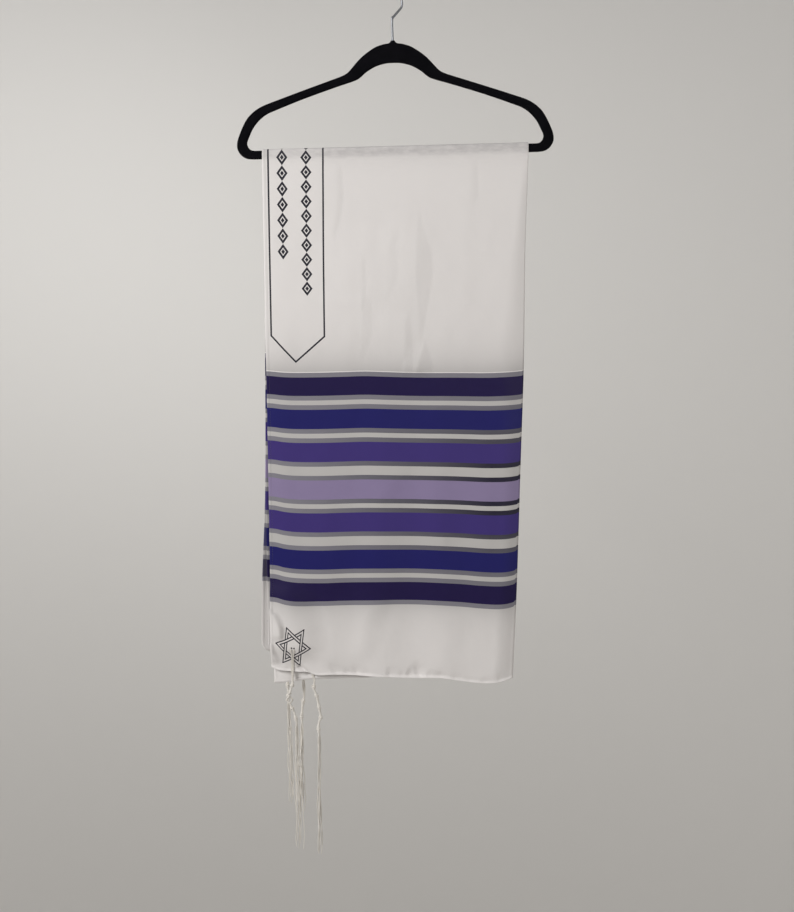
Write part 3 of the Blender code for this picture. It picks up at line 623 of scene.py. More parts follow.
def satin_print(node, reverse):
    """The printed colours at a place on the flat sheet, and the holes' painted shade, as a colour
    socket.

    Bands and lines are dye-printed on the right side. The dye soaks through, so that the
    reverse shows the bands a little paler and the lines faint.
    """
    flat = node("UVMap", uv_map="flat_sheet")
    place = node("SeparateXYZ", {"Vector": flat.outputs["UV"]})
    across = place.outputs["X"]
    far = node("Math", [SHEET_WIDTH, across], operation="SUBTRACT")
    from_selvage = node("Math", [across, far], operation="MINIMUM")
    from_middle = node("Math", [place.outputs["Y"]], operation="ABSOLUTE")

    white, gap, grey, ink = "#e5e1df", "#bfbcba", "#84828a", "#1c1b28"
    plum, blue, violet, lilac = "#221945", "#232263", "#423577", "#8d80a2"
    bands = []                 # (relative width, colour) from the neck to the hem
    for band, gap_width in ((plum, 1), (blue, 1), (violet, 2), (lilac, 1), (violet, 2),
                            (blue, 1), (plum, 0)):
        bands += [(1, grey), (4, band), (1, grey), (gap_width, gap)]
    bands[-1] = (0, white)
    total = sum(width for width, _ in bands)
    along = node("MapRange", {"Value": from_middle, "From Min": STRIPES_START, "From Max": STRIPES_END})
    stripes = node("ValToRGB", {"Fac": along})
    ramp = stripes.color_ramp
    ramp.interpolation = "CONSTANT"
    ramp.elements.remove(ramp.elements[1])
    ramp.elements[0].color = linear(white)[:3] + (0.0,)
    done = 0.0
    for width, colour in bands:
        stop = ramp.elements.new(min(max(done / total, 0.0001), 0.9999))
        stop.color = linear(colour)[:3] + (1.0 if colour == grey else 0.0,)
        done += width

    # The grey lines are printed darker towards the fold, most in the middle stripes.
    middle = (STRIPES_START + STRIPES_END) / 2
    off_middle = node("Math", [from_middle, middle], operation="SUBTRACT")
    apart = node("Math", [off_middle], operation="ABSOLUTE")
    dark_rows = node("MapRange", {"Value": apart, "From Min": 0.02, "From Max": 0.175, "To Min": 1.0,
        "To Max": 0.0}, interpolation_type="SMOOTHSTEP")
    dark_side = node("MapRange", {"Value": from_selvage, "From Min": 0.03, "From Max": 0.33,
        "To Max": 1.0})
    both = node("Math", [dark_rows, dark_side], operation="MULTIPLY")
    darker = node("Math", [both, stripes.outputs["Alpha"]], operation="MULTIPLY")
    colour = node("Mix", {"Factor": darker, 6: stripes, 7: linear("#2b2838")},
        data_type="RGBA").outputs[2]

    # The white is greyed next to the stripes, fading away from them on both sides.
    for edge, way, fade, depth in ((STRIPES_START, -1, 0.025, 0.34), (STRIPES_END, 1, 0.020, 0.26)):
        beyond = node("Math", [from_middle, way / fade, -way * edge / fade], operation="MULTIPLY_ADD")
        outside = node("Math", [beyond, 0.0], operation="GREATER_THAN")
        falling = node("Math", [math.exp(-1), beyond], operation="POWER")
        shade = node("Math", [falling, outside], operation="MULTIPLY")
        tint = node("Math", [shade, depth], operation="MULTIPLY")
        colour = node("Mix", {"Factor": tint, 6: colour, 7: linear("#232226")},
            data_type="RGBA").outputs[2]

    # The star's mask also holds the painted shade of the two holes, mixed in the ink's colour.
    lines = [neckband_lines(node, across, from_middle, place.outputs["Y"]),
             star_lines_and_hole_shade(node, from_selvage, from_middle)]
    ink_and_hole_shade = node("Math", lines, operation="MAXIMUM")
    strength = node("Math", [ink_and_hole_shade, 0.12 if reverse else 0.98], operation="MULTIPLY")
    colour = node("Mix", {"Factor": strength, 6: colour, 7: linear(ink)}, data_type="RGBA").outputs[2]
    if reverse:
        colour = node("Mix", {"Factor": 0.08, 6: colour, 7: linear(white)}, data_type="RGBA").outputs[2]
    return colour


def neckband_lines(node, across, from_middle, along):
    """The neckband's printed frame, pointed at both ends, with two plain lozenge borders."""
    left_line, right_line, point_across = 0.0083, 0.0848, 0.0432
    straight, point, line_width = 0.2530, 0.2888, 0.0024
    outside = []
    for edge, way in ((left_line, -1), (right_line, 1)):
        outside.append(node("Math", [across, way, -way * edge], operation="MULTIPLY_ADD"))
    side = node("Math", outside, operation="MAXIMUM")
    slants = []
    for edge, way in ((left_line, -1), (right_line, 1)):
        run = way * (edge - point_across)
        slant = node("Math", [across, way / run, -way * point_across / run], operation="MULTIPLY_ADD")
        beyond = node("Math", [from_middle, 1 / (point - straight), -point / (point - straight)],
            operation="MULTIPLY_ADD")
        share = node("Math", [slant, beyond], operation="ADD")
        scale = run * (point - straight) / math.hypot(run, point - straight)
        slants.append(node("Math", [share, scale], operation="MULTIPLY"))
    end = node("Math", slants, operation="MAXIMUM")
    nearest = node("Math", [side, end], operation="MAXIMUM")
    drawn = node("Math", [nearest, 0.0, line_width / 2], operation="COMPARE")

    Border = namedtuple("Border", "at half pitch count")
    for border in (Border(0.0275, 0.0078, 0.01104, 13), Border(0.0610, 0.0078, 0.01025, 19)):
        shifted = node("Math", [across, border.at], operation="SUBTRACT")
        aside = node("Math", [shifted], operation="ABSOLUTE")
        wide = node("Math", [aside, border.half], operation="DIVIDE")
        phase = node("Math", [along, 1 / border.pitch], operation="MULTIPLY")
        wave = node("Math", [phase, 1.0], operation="PINGPONG")
        lozenge = node("Math", [wide, wave], operation="ADD")
        rim = node("Math", [lozenge, 0.77, 0.23], operation="COMPARE")
        eye = node("Math", [lozenge, 0.34], operation="LESS_THAN")
        inside = node("Math", [from_middle, border.pitch * border.count], operation="LESS_THAN")
        shape = node("Math", [rim, eye], operation="MAXIMUM")
        kept = node("Math", [shape, inside], operation="MULTIPLY")
        drawn = node("Math", [drawn, kept], operation="MAXIMUM")
    return drawn


def star_lines_and_hole_shade(node, from_selvage, from_middle):
    """Two interlaced triangles in double outline round each corner's eyelets, with painted shade in its
    two holes.
    """
    centre_across, centre_along, narrow = 0.0347, 0.7016, 0.885
    inner_radius = 0.0130      # middle of the band, from the centre to a triangle's side
    band, line_width, turned = 0.0037, 0.0017, math.radians(-1.5)
    skew = 0.12                # the print runs a little off the square
    up = node("Math", [from_middle, -0.93, 0.93 * centre_along], operation="MULTIPLY_ADD")
    skewed = node("Math", [up, -skew, from_selvage], operation="MULTIPLY_ADD")
    shifted = node("Math", [skewed, centre_across], operation="SUBTRACT")
    across = node("Math", [shifted, 1 / narrow], operation="MULTIPLY")
    parts = []
    for first_side in (0, 60):
        furthest = None
        for degrees in (0, 120, 240):
            angle = math.radians(first_side + degrees) + turned
            sideways = node("Math", [across, math.cos(angle)], operation="MULTIPLY")
            reach = node("Math", [up, math.sin(angle), sideways], operation="MULTIPLY_ADD")
            if furthest is None:
                furthest = reach
            else:
                furthest = node("Math", [furthest, reach], operation="MAXIMUM")
        edges = []
        for radius in (inner_radius - band / 2, inner_radius + band / 2):
            edges.append(node("Math", [furthest, radius, line_width / 2], operation="COMPARE"))
        outline_ink = node("Math", edges, operation="MAXIMUM")
        cover = node("Math", [furthest, inner_radius, band / 2 - line_width / 2], operation="COMPARE")
        parts.append((outline_ink, cover))
    # The bands pass over and under each other in turn, six times round the star.
    angle = node("Math", [up, across], operation="ARCTAN2")
    thrice = node("Math", [angle, 3.0, -3 * turned], operation="MULTIPLY_ADD")
    wave = node("Math", [thrice], operation="SINE")
    over = node("Math", [wave, 0.0], operation="GREATER_THAN")
    under = node("Math", [1.0, over], operation="SUBTRACT")
    visible = []
    for (ink, _), (_, other_cover), hidden in ((parts[0], parts[1], under), (parts[1], parts[0], over)):
        lost = node("Math", [other_cover, hidden], operation="MULTIPLY")
        left = node("Math", [ink, lost], operation="SUBTRACT", use_clamp=True)
        visible.append(left)
    star = node("Math", visible, operation="MAXIMUM")
    # Painted shade: the pierced holes are drawn dark above the strings that fill their lower halves.
    beside = node("Math", [from_selvage, HOLES_ACROSS], operation="SUBTRACT")
    either = node("Math", [beside], operation="ABSOLUTE")
    off_hole = node("Math", [either, 0.0019], operation="SUBTRACT")
    off_row = node("Math", [from_middle, HOLES_ALONG], operation="SUBTRACT")
    square = node("Math", [off_hole, off_hole], operation="MULTIPLY")
    square = node("Math", [off_row, off_row, square], operation="MULTIPLY_ADD")
    hole = node("Math", [square, 0.0013**2], operation="LESS_THAN")
    return node("Math", [star, hole], operation="MAXIMUM")


def printed_satin(name, reverse=False):
    """Polyester satin: long floats of bright yarn give a soft, slightly pearly shine."""
    material, node = new_material(name)
    colour = satin_print(node, reverse)
    # Painted shade: the black bar shows grey through the two thin layers that lie on it.
    on_bar = node("Attribute", attribute_name="on_bar")
    place = node("TexCoord")
    streaks = node("Mapping", {"Vector": place.outputs["Object"],
        "Scale": (1 / 0.011, 1 / 0.011, 1 / 0.0038)})
    mottled = node("TexNoise", {"Vector": streaks, "Scale": 1.0, "Detail": 2.0})
    patchy = node("MapRange", {"Value": mottled, "From Min": 0.3, "From Max": 0.7, "To Min": 0.21,
        "To Max": 0.36})
    shade = node("Math", [on_bar.outputs["Fac"], patchy], operation="MULTIPLY")
    shaded = node("Mix", {"Factor": shade, 6: colour, 7: linear("#55535a")}, data_type="RGBA")
    # Warp floats run up the cloth. Real yarns are 0.12 mm apart; drawn at 0.7 mm to show.
    yarn_spacing = 0.0007
    flat = node("UVMap", uv_map="flat_sheet")
    floats = node("Mapping", {"Vector": flat.outputs["UV"],
        "Scale": (1 / yarn_spacing, 0.12 / yarn_spacing, 1.0)})
    yarn = node("TexNoise", {"Vector": floats, "Scale": 1.0, "Detail": 1.0})
    weave = node("Bump", {"Height": yarn, "Strength": 0.25, "Distance": 0.00012})
    slub = node("MapRange", {"Value": yarn, "To Min": 0.34, "To Max": 0.52})
    shader = node("BsdfPrincipled", {"Base Color": shaded.outputs[2], "Roughness": slub,
        "Normal": weave, "IOR": 1.45, "Specular IOR Level": 0.18, "Anisotropic": 0.3})
    node("OutputMaterial", [shader])
    return material


def set_flat_places(mesh, flat):
    """Store each vertex's place on the flat sheet, which the print is drawn from."""
    corners = np.empty(len(mesh.loops), np.int32)
    mesh.loops.foreach_get("vertex_index", corners)
    mesh.uv_layers.new(name="flat_sheet").data.foreach_set("uv", flat[corners].ravel())


def sheet_mesh(points, normals, thickness, width_at, length_at, on_bar, left_out):
    """A closed thin shell round the middle surface, with walls at its edges and eyelets."""
    rows, cols = points.shape[:2]
    lift = normals * (thickness / 2)[..., None]
    verts = np.concatenate([(points + lift).reshape(-1, 3), (points - lift).reshape(-1, 3)])
    under = rows * cols
    kept = np.ones((rows - 1, cols - 1), bool)
    for j, i in left_out:
        kept[j, i] = False
    faces, reverse = [], []
    for j in range(rows - 1):
        for i in range(cols - 1):
            if not kept[j, i]:
                continue
            a, b, c, d = j * cols + i, j * cols + i + 1, (j + 1) * cols + i + 1, (j + 1) * cols + i
            faces.append((a, b, c, d))
            faces.append((d + under, c + under, b + under, a + under))
            reverse += [0, 1]
            for dj, di, p, q in ((-1, 0, b, a), (0, 1, c, b), (1, 0, d, c), (0, -1, a, d)):
                nj, ni = j + dj, i + di
                if 0 <= nj < rows - 1 and 0 <= ni < cols - 1 and kept[nj, ni]:
                    continue
                faces.append((p, q, q + under, p + under))
                reverse.append(0)
    mesh = bpy.data.meshes.new("satin_shawl")
    mesh.from_pydata(verts.tolist(), [], faces)
    mesh.polygons.foreach_set("material_index", reverse)
    flat = np.stack([np.broadcast_to(width_at, (rows, cols)), length_at], -1).reshape(-1, 2)
    set_flat_places(mesh, np.concatenate([flat, flat]))
    # The bar's painted shade, kept on each point for the satin's colour.
    shade = mesh.attributes.new("on_bar", "FLOAT", "POINT")
    shade.data.foreach_set("value", np.concatenate([on_bar.ravel(), on_bar.ravel()]))
    mesh.shade_smooth()
    mesh.validate()
    return mesh


def surface_normals(points):
    """Unit normals on the right side of the sheet."""
    across = np.gradient(points, axis=1)
    along = np.gradient(points, axis=0)
    normal = np.cross(across, along)
    return normal / np.linalg.norm(normal, axis=-1, keepdims=True)


points, width_at, length_at, on_bar, hang_rows = sheet_grid()
normals = surface_normals(points)
from_edge = edge_distance(width_at, hang_rows)
thickness, = eased(tuple(zip(HEM_LINES, (
    0.0005, HEM_FLAT, HEM_FLAT, 0.0009, 0.0004, 0.0005, SATIN))), from_edge)
eyelet_columns = [i for i, u in enumerate(width_at)
                  if any(abs(u - at) < 1e-6 for at in EYELET_LINES)]
eyelet_up = 14                # the cell 33.7 to 35.7 mm above the hem
eyelet_rows = [eyelet_up - 1, len(points) - 1 - eyelet_up]
eyelets = [(j, i) for j in eyelet_rows for i in eyelet_columns]
shawl_mesh = sheet_mesh(points, normals, thickness, width_at, length_at, on_bar, eyelets)
shawl = add_object("satin_shawl", shawl_mesh)
shawl.data.materials.append(printed_satin("printed_satin"))
shawl.data.materials.append(printed_satin("satin_reverse", reverse=True))
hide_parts("shawl")
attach(shawl, "root")

# ------------------------------------------------------------------ hem stitching
# The turned hem is held by one row of white polyester lockstitch, 4.4 mm in from the
# edge on all four sides. Each stitch is 2.6 mm long and sits a little sunk in the satin.

SEAM_LINE = 4                 # the grid line that the seam follows, counted from the edge
STITCH_PITCH = 0.0026
STITCH_LONG = 0.0021
STITCH_HALF = 0.00022         # half the width of the sewing thread
STITCH_PROUD = 0.00012


def sewing_thread():
    """Spun polyester thread: fine, slightly glossy, and printed over along with the satin."""
    material, node = new_material("polyester_thread")
    printed = satin_print(node, False)
    paler = node("Mix", {"Factor": 0.10, 6: printed, 7: linear("#efedea")}, data_type="RGBA")
    place = node("TexCoord")
    twist = node("TexWave", {"Vector": place.outputs["Object"], "Scale": 1 / 0.0012, "Distortion": 1.0},
        bands_direction="DIAGONAL")
    ply = node("Bump", {"Height": twist.outputs["Fac"], "Strength": 0.3, "Distance": 0.0001})
    shader = node("BsdfPrincipled", {"Base Color": paler.outputs[2], "Roughness": 0.5, "Normal": ply,
        "Sheen Weight": 0.1})
    node("OutputMaterial", [shader])
    return material


def way_along(line):
    """Each point's distance along the line from its start."""
    return np.concatenate([[0.0], np.cumsum(np.linalg.norm(np.diff(line, axis=0), axis=1))])


def stitch_row(line, out, beside, flat, face):
    """Stitches along a line on the sheet: long, low, eight-sided lozenges of thread."""
    reach = way_along(line)
    verts, faces, places = [], [], []
    for n in range(int(reach[-1] / STITCH_PITCH)):
        middle = (n + 0.5) * STITCH_PITCH
        ends = []
        for at in (middle - STITCH_LONG / 2, middle, middle + STITCH_LONG / 2):
            ends.append([np.array([np.interp(at, reach, part[:, k]) for k in range(3)])
                         for part in (line, out, beside)])
        places += [[np.interp(middle, reach, flat[:, k]) for k in range(2)]] * 6
        first = len(verts)
        (start, _, _), (spot, up, side), (end, _, _) = ends
        lift = up * face
        verts += [start, end, spot + lift * STITCH_PROUD + side * STITCH_HALF,
                  spot + lift * STITCH_PROUD - side * STITCH_HALF,
                  spot + lift * (STITCH_PROUD + STITCH_HALF), spot - lift * STITCH_HALF]
        for a, b in ((2, 4), (4, 3), (3, 5), (5, 2)):
            faces += [(first, first + a, first + b), (first + 1, first + b, first + a)]
    return verts, faces, places


def stitch_lines():
    """The four stitched lines of the sheet, as rows or columns of its grid."""
    rows, cols = points.shape[:2]
    columns = [i for i, u in enumerate(width_at)
               if abs(min(u, SHEET_WIDTH - u) - HEM_LINES[SEAM_LINE]) < 1e-6]
    seam_rows = (SEAM_LINE, rows - 1 - SEAM_LINE)
    span = slice(SEAM_LINE, rows - SEAM_LINE)
    along = np.gradient(points, axis=0)
    along /= np.linalg.norm(along, axis=-1, keepdims=True)
    side = np.cross(normals, along)
    flat = np.stack([np.broadcast_to(width_at, (rows, cols)), length_at], -1)
    for i in columns:
        yield points[span, i], normals[span, i], side[span, i], flat[span, i]
    for j in seam_rows:
        inside = slice(SEAM_LINE, cols - SEAM_LINE)
        yield points[j, inside], normals[j, inside], along[j, inside], flat[j, inside]


stitch_verts, stitch_faces, stitch_flat = [], [], []
groove = 0.0002               # half the thickness of the satin under the thread
for line, out, beside, flat in stitch_lines():
    for face in (1, -1):
        verts, faces, places = stitch_row(line + out * face * groove, out, beside, flat, face)
        stitch_flat += places
        stitch_faces += [tuple(k + len(stitch_verts) for k in f) for f in faces]
        stitch_verts += verts
stitch_mesh = bpy.data.meshes.new("hem_stitching")
stitch_mesh.from_pydata([tuple(v) for v in stitch_verts], [], stitch_faces)
set_flat_places(stitch_mesh, np.array(stitch_flat))
stitch_mesh.shade_smooth()
stitch_mesh.materials.append(sewing_thread())
stitching = add_object("hem_stitching", stitch_mesh)
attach(stitching, "root")

# ------------------------------------------------------------------ corner strings
# Four cream cotton strings are drawn half through the pair of eyelets in each corner, so
# that eight ends hang. They are tied in double knots, wound between them with the
# longest string, and left free below the last knot. Two-ply twist, about 1.1 mm thick.

STRING = 0.00055
STRING_SIDES = 6
RING_SPACING = 0.0011
PLY_TURN = 0.0042             # length of one turn of the two plies
BUNDLE = 0.0010               # radius of the ring in which the eight strings run
BARE = 0.0013                 # a station this thin has no winding round it
KNOT = 0.0023                 # and one this thick is a knot
TIGHT = 0.0021                # thicker than this, the bundle is wound tight
TIGHT_PITCH = 0.00105         # from one turn of the winding to the next
LOOSE_PITCH = 0.0021
TURN_STEPS = 12               # points drawn in one turn
STRANDS = 8                   # ends that hang from a corner
LANE = 0.0009                 # between strings that lie side by side on the satin
BUNDLE_TWIST = 0.012          # length in which the bundle turns by one radian
DROP_STEPS = 14               # points drawn on a free end
LOOP_STEPS = 14               # and on a knot's loop

# The strings' bundle in millimetres: below the loop's foot, aside, and its radius.
Station = namedtuple("Station", "below across radius")
STATIONS_LEFT = from_mm(Station, (
    (0, 0, 1.5), (6, -0.6, 2.6), (11, -2.6, 1.7), (17, -5, 2.6), (21, -5.2, 1.3),
    (34, -4, 1.3), (40, -1, 2.6), (46, 1.6, 1.7), (55, 4, 2.6), (61, 5.2, 1.8)))
STATIONS_RIGHT = from_mm(Station, (
    (0, 0, 1.5), (5, -0.8, 2.6), (12, 0.8, 1.7), (19, 3.4, 2.6), (27, 5.2, 1.7),
    (36, 6.8, 2.6), (44, 8.2, 1.8), (52, 8.8, 2.6), (59, 6.2, 1.8), (69, 5.6, 2.7), (75, 6.2, 1.8)))
STATIONS_MIDDLE = from_mm(Station, (
    (0, 0, 1.5), (6, 0.4, 2.4), (12, 1, 1.7), (20, 1.4, 2.4), (26, 1.6, 1.3), (62, 3, 1.3),
    (70, 1.6, 2.6), (82, 0, 1.8), (94, -1.2, 2.5), (100, -1, 1.8)))
STATIONS_HIDDEN = from_mm(Station, (
    (0, 0, 1.5), (5, 0.8, 2.6), (12, 1.6, 1.7), (22, 2, 2.6), (30, 3, 1.7), (40, 3, 2.6),
    (48, 3.6, 1.7), (56, 3.4, 2.5), (62, 3.6, 1.8)))

Tassel = namedtuple("Tassel", "name hang turn node swing loop_below stations parted ends "
                              "drift spread")
TASSELS = (
    Tassel("strings_front_outer", FRONT, 1, "tzitzit_front_outer", -0.001, 0.0150,
           STATIONS_LEFT, 0.0044, -1.234, 0.002, 0.0056),
    Tassel("strings_front_inner", FRONT, -1, "tzitzit_front_inner", 0.011, 0.0060,
           STATIONS_RIGHT, 0.0, -1.245, -0.001, 0.0016),
    Tassel("strings_back_inner", BACK, -1, "tzitzit_back_inner", 0.001, 0.0150,
           STATIONS_MIDDLE, 0.0018, -1.190, -0.002, 0.0050),
    Tassel("strings_back_outer", BACK, 1, "tzitzit_back_outer", 0.002, 0.0150,
           STATIONS_HIDDEN, 0.0, -1.180, 0.004, 0.0052),
)
EYELET_PLACES = {1: (0.0317, 0.0357), -1: (0.0490, 0.0530)}    # across the sheet
EYELET_RISE = 0.0350


def twisted_cotton():
    """Spun cotton string: two plies catch the light in turn, dull and a little hairy."""
    material, node = new_material("twisted_cotton")
    place = node("TexCoord")
    hair = node("TexNoise", {"Vector": place.outputs["Object"], "Scale": 1 / 0.0006, "Detail": 3.0})
    stain = node("TexNoise", {"Vector": place.outputs["Object"], "Scale": 1 / 0.02, "Detail": 1.0})
    tone = node("Mix", {"Factor": stain, 6: linear("#ebe7e1"), 7: linear("#ddd7cd")}, data_type="RGBA")
    nap = node("Bump", {"Height": hair, "Strength": 0.6, "Distance": 0.0002})
    shader = node("BsdfPrincipled", {"Base Color": tone.outputs[2], "Roughness": 0.9, "Normal": nap,
        "Specular IOR Level": 0.2, "Sheen Weight": 0.25, "Sheen Roughness": 0.5})
    node("OutputMaterial", [shader])
    return material


def along_path(spots, spacing):
    """Evenly spaced points on one smooth line through the spots."""
    spots = np.array(spots)
    reach = way_along(spots)
    at = np.linspace(0.0, reach[-1], max(int(reach[-1] / spacing), 3) + 1)
    return np.stack(eased(np.column_stack([reach, spots]), at), -1)


def add_string(verts, faces, line, start_angle=0.0):
    """A two-ply string along a line, as a closed tube whose section turns with the twist."""
    way = np.gradient(line, axis=0)
    way /= np.linalg.norm(way, axis=1, keepdims=True)
    reach = way_along(line)
    side = np.cross(way[0], (0.31, 0.87, 0.38))
    first = len(verts)
    angles = 2 * np.pi * np.arange(STRING_SIDES) / STRING_SIDES
    for spot, ahead, run in zip(line, way, reach):
        side = side - ahead * np.dot(side, ahead)
        side /= np.linalg.norm(side)
        up = np.cross(ahead, side)
        twist = 2 * np.pi * run / PLY_TURN + start_angle
        radius = STRING * (1 + 0.24 * np.cos(2 * angles - 2 * twist))
        ring = spot + radius[:, None] * (np.cos(angles)[:, None] * side + np.sin(angles)[:, None] * up)
        verts += ring.tolist()
    rings = len(line)
    for n in range(rings - 1):
        for k in range(STRING_SIDES):
            a = first + n * STRING_SIDES + k
            b = first + n * STRING_SIDES + (k + 1) % STRING_SIDES
            faces.append((a, b, b + STRING_SIDES, a + STRING_SIDES))
    faces.append(tuple(first + k for k in reversed(range(STRING_SIDES))))
    faces.append(tuple(first + (rings - 1) * STRING_SIDES + k for k in range(STRING_SIDES)))


def on_sheet(spec, across, rise):
    """A place on one layer near the hem, a height above it."""
    share = np.array([across / HALF])
    turn = np.array([float(spec.turn)])
    hem = hem_height(spec.hang, share, turn)[0]
    fraction = np.array([1 - rise / (bar_axis(0.0) - hem)])
    return hung_sheet(spec.hang, share, turn, fraction)[0][0]


def string_lines(spec, meet):
    """The eight strings of a corner, each one line from its eyelet to its free end."""
    foot = spec.stations[-1].below
    open_from = [s.below for s in spec.stations if s.radius < BARE + 1e-6]
    places = EYELET_PLACES[spec.turn]
    swung = meet[0] - on_sheet(spec, sum(places) / 2, 0.0)[0]
    for n in range(STRANDS):
        face = 1 if n % 2 else -1                      # the side of the satin it runs down
        out = np.array([0.0, face, 0.0])
        lane = n // 2                                  # 0 to 3, from left to right
        hole = places[0] if lane < 2 else places[1]
        ring = 2 * math.pi * n / STRANDS + 0.3
        spots = [on_sheet(spec, hole, EYELET_RISE)]
        for rise in (0.0336, 0.025, 0.0165, 0.008, 0.0005):
            share = 1 - rise / EYELET_RISE
            spot = on_sheet(spec, sum(places) / 2, rise)
            apart = (hole - sum(places) / 2) * (1 - share) ** 6 + (lane - 1.5) * LANE
            spots.append(spot + out * (0.0008 + 0.0005 * share)
                         + np.array([apart + swung * share, 0.0, 0.0]))
        depths = np.linspace(0.003, foot, 22)
        for depth, across in zip(depths, eased(spec.stations, depths)[0]):
            turn = ring + depth / BUNDLE_TWIST
            apart = 0.0
            if open_from and open_from[0] < depth < open_from[-1]:
                half = (open_from[-1] - open_from[0]) / 2
                apart = spec.parted * hump((depth - open_from[0] - half) / half)
                apart *= 1 if math.cos(ring) > 0 else -1
            spots.append(meet + np.array([across + apart + BUNDLE * math.cos(turn),
                                          BUNDLE * math.sin(turn), -depth]))
        start = spots[-1]
        fan = spec.spread * (0.55 + 0.45 * math.cos(2.4 * n))
        length = (start[2] - spec.ends) * (1.0 - 0.10 * math.sin(2.4 * n) ** 2)
        for step in range(1, DROP_STEPS + 1):
            t = step / DROP_STEPS
            reach = fan * smooth(1.5 * t)
            sway = 0.0011 * math.sin(9.5 * t + 1.7 * n) + 0.0005 * math.sin(23 * t + 2.9 * n)
            spots.append(start + np.array([
                reach * math.cos(ring) + spec.drift * t + sway,
                0.6 * reach * math.sin(ring) + 0.5 * sway * math.cos(n), -length * t]))
        yield along_path(spots, RING_SPACING)


def winding_line(spec, meet):
    """The long string wound round the others: tight on the knots, loose between them."""
    runs, run = [], []
    angle = 0.0
    depth = 0.0005
    while depth < spec.stations[-1].below:
        radius = float(eased(spec.stations, depth)[1])
        pitch = TIGHT_PITCH if radius > TIGHT else LOOSE_PITCH
        angle += 2 * math.pi / TURN_STEPS
        depth += pitch / TURN_STEPS
        if radius < BARE + 0.0002:
            if len(run) > 6:
                runs.append(run)
            run = []
            continue
        uneven = 1.0 + 0.10 * math.sin(0.37 * angle) + 0.06 * math.sin(1.31 * angle)
        spot = np.array([float(eased(spec.stations, depth)[0]), 0.0, -depth])
        tilt = 0.0005 * math.sin(angle + 0.9)
        run.append(meet + spot + np.array([(radius - STRING) * uneven * math.cos(angle),
                                           (radius - STRING) * uneven * math.sin(angle), tilt]))
    if len(run) > 6:
        runs.append(run)
    return runs


def knot_loops(spec, meet):
    """Two slanting loops over each knot, where the pair of ends is drawn tight."""
    for station in spec.stations:
        if station.radius < KNOT:
            continue
        middle = meet + np.array([station.across, 0.0, -station.below])
        for slant in (0.62, -0.55):
            loop = []
            for n in range(LOOP_STEPS + 1):
                angle = 2 * math.pi * n / LOOP_STEPS + station.below * 90
                reach = station.radius + 0.0001
                loop.append(middle + reach * np.array([
                    math.cos(angle), math.sin(angle), slant * math.cos(angle + 0.4)]))
            yield loop


def corner_strings(spec, cotton):
    """All the strings of one corner, as one joined mesh."""
    places = EYELET_PLACES[spec.turn]
    meet = on_sheet(spec, sum(places) / 2, 0.0) + np.array([spec.swing, 0.0, -spec.loop_below])
    verts, faces = [], []
    for n, line in enumerate(string_lines(spec, meet)):
        add_string(verts, faces, line, 0.8 * n)
    for run in winding_line(spec, meet):
        add_string(verts, faces, along_path(run, RING_SPACING))
    for loop in knot_loops(spec, meet):
        add_string(verts, faces, along_path(loop, RING_SPACING), 1.0)
    mesh = bpy.data.meshes.new(spec.name)
    mesh.from_pydata(verts, [], faces)
    mesh.shade_smooth()
    mesh.materials.append(cotton)
    strings = add_object(spec.name, mesh)
    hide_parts(spec.node)
    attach(strings, "root")
    return strings


cotton = twisted_cotton()
tassels = [corner_strings(spec, cotton) for spec in TASSELS]

# ------------------------------------------------------------------ studio
# Plain pale floor that curves up into a pale wall all round, and soft light from the
# upper left, which falls off across the wall. The camera looks a little down.

FLOOR = -3.8
WALL_RADIUS = 2.9
COVE = 0.7
WALL_TOP = 2.4
STAGE_SIDES = 96

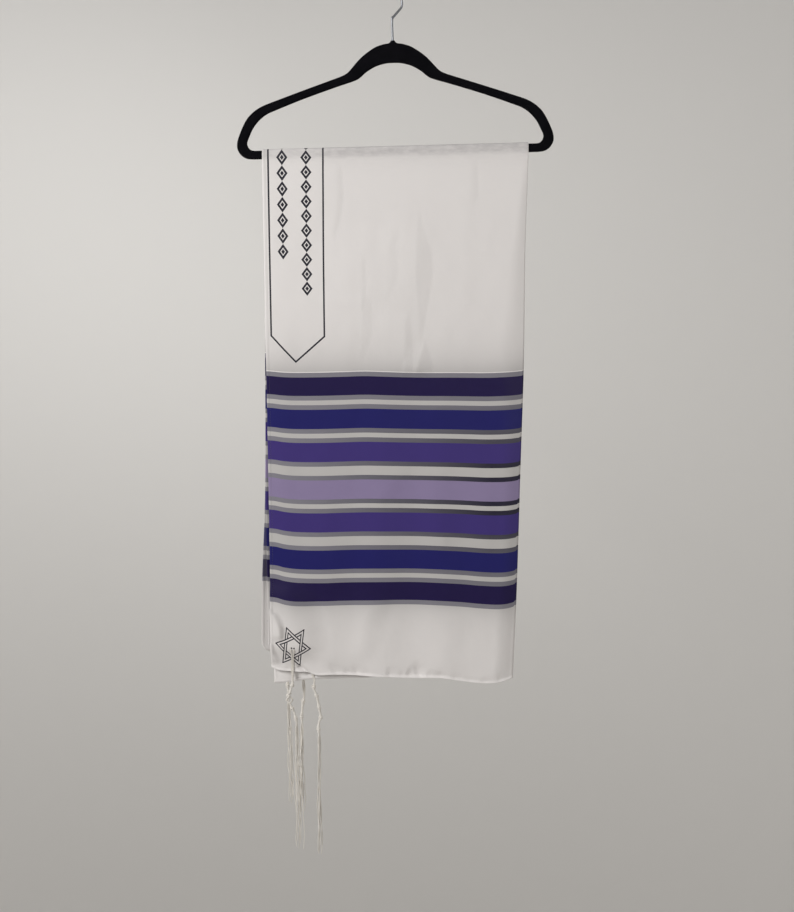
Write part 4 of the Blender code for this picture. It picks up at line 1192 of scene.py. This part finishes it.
profile = [(WALL_RADIUS - COVE, FLOOR)]
for n in range(1, 17):
    angle = math.pi / 2 * n / 16
    profile.append((WALL_RADIUS - COVE * (1 - math.sin(angle)), FLOOR + COVE * (1 - math.cos(angle))))
profile.append((WALL_RADIUS, WALL_TOP))
turns = [2 * math.pi * n / STAGE_SIDES for n in range(STAGE_SIDES)]
stage_verts = [(0.0, 0.0, FLOOR)]
stage_verts += [(r * math.cos(a), r * math.sin(a), z) for r, z in profile for a in turns]
stage_faces = []
for n in range(STAGE_SIDES):
    beside = (n + 1) % STAGE_SIDES
    stage_faces.append((0, 1 + n, 1 + beside))
    for k in range(1, len(stage_verts) - STAGE_SIDES, STAGE_SIDES):
        stage_faces.append((k + n, k + n + STAGE_SIDES, k + beside + STAGE_SIDES, k + beside))
stage_mesh = bpy.data.meshes.new("studio_floor")
stage_mesh.from_pydata(stage_verts, [], stage_faces)
stage_mesh.shade_smooth()
floor = add_object("studio_floor", stage_mesh)
# Matt wall paint: it scatters evenly, so that no lamp shows in it.
paint, node = new_material("matt_wall_paint")
shader = node("BsdfPrincipled", {"Base Color": linear("#dcdad7"), "Roughness": 0.9,
    "Specular IOR Level": 0.1})
node("OutputMaterial", [shader])
floor.data.materials.append(paint)

world = bpy.data.worlds.new("soft_sky")
bpy.context.scene.world = world
world.use_nodes = True
background = world.node_tree.nodes["Background"]
background.inputs["Color"].default_value = linear("#f2f0ee")
background.inputs["Strength"].default_value = 0.06

Lamp = namedtuple("Lamp", "name place size power aim")
for lamp in (Lamp("key_light", (-2.05, -1.5, 0.6), 1.1, 62.0, (-0.7, 0.0, -0.20)),
             Lamp("fill_light", (1.6, -2.2, -0.1), 1.6, 12.0, (0.0, 0.0, -0.55)),
             Lamp("back_light", (1.3, 1.5, 0.35), 1.3, 17.0, (0.0, 0.0, -0.60)),
             Lamp("wall_light", (-0.7, 0.8, 0.20), 1.0, 16.5, (0.0, 2.9, 0.0))):
    light = bpy.data.lights.new(lamp.name, "AREA")
    light.size = lamp.size
    light.energy = lamp.power
    holder = add_object(lamp.name, light)
    holder.location = lamp.place
    aim = Vector(lamp.aim) - Vector(lamp.place)
    holder.rotation_euler = aim.to_track_quat("-Z", "Y").to_euler()
    holder.visible_camera = False

CAMERA_PLACE = (0.00817, -1.500, -0.5208)
LOOK_DOWN = math.radians(5.0)
ROLL = math.radians(0.309)
camera = add_object("camera", bpy.data.cameras.new("camera"))
camera.data.sensor_width = 36.0
camera.data.sensor_fit = "HORIZONTAL"
camera.data.lens = 47.06
camera.data.clip_start = 0.05
camera.matrix_world = (Matrix.Translation(CAMERA_PLACE)
                       @ Matrix.Rotation(math.pi / 2 - LOOK_DOWN, 4, "X")
                       @ Matrix.Rotation(-ROLL, 4, "Z"))
bpy.context.scene.camera = camera
bpy.context.scene.view_settings.view_transform = "Standard"
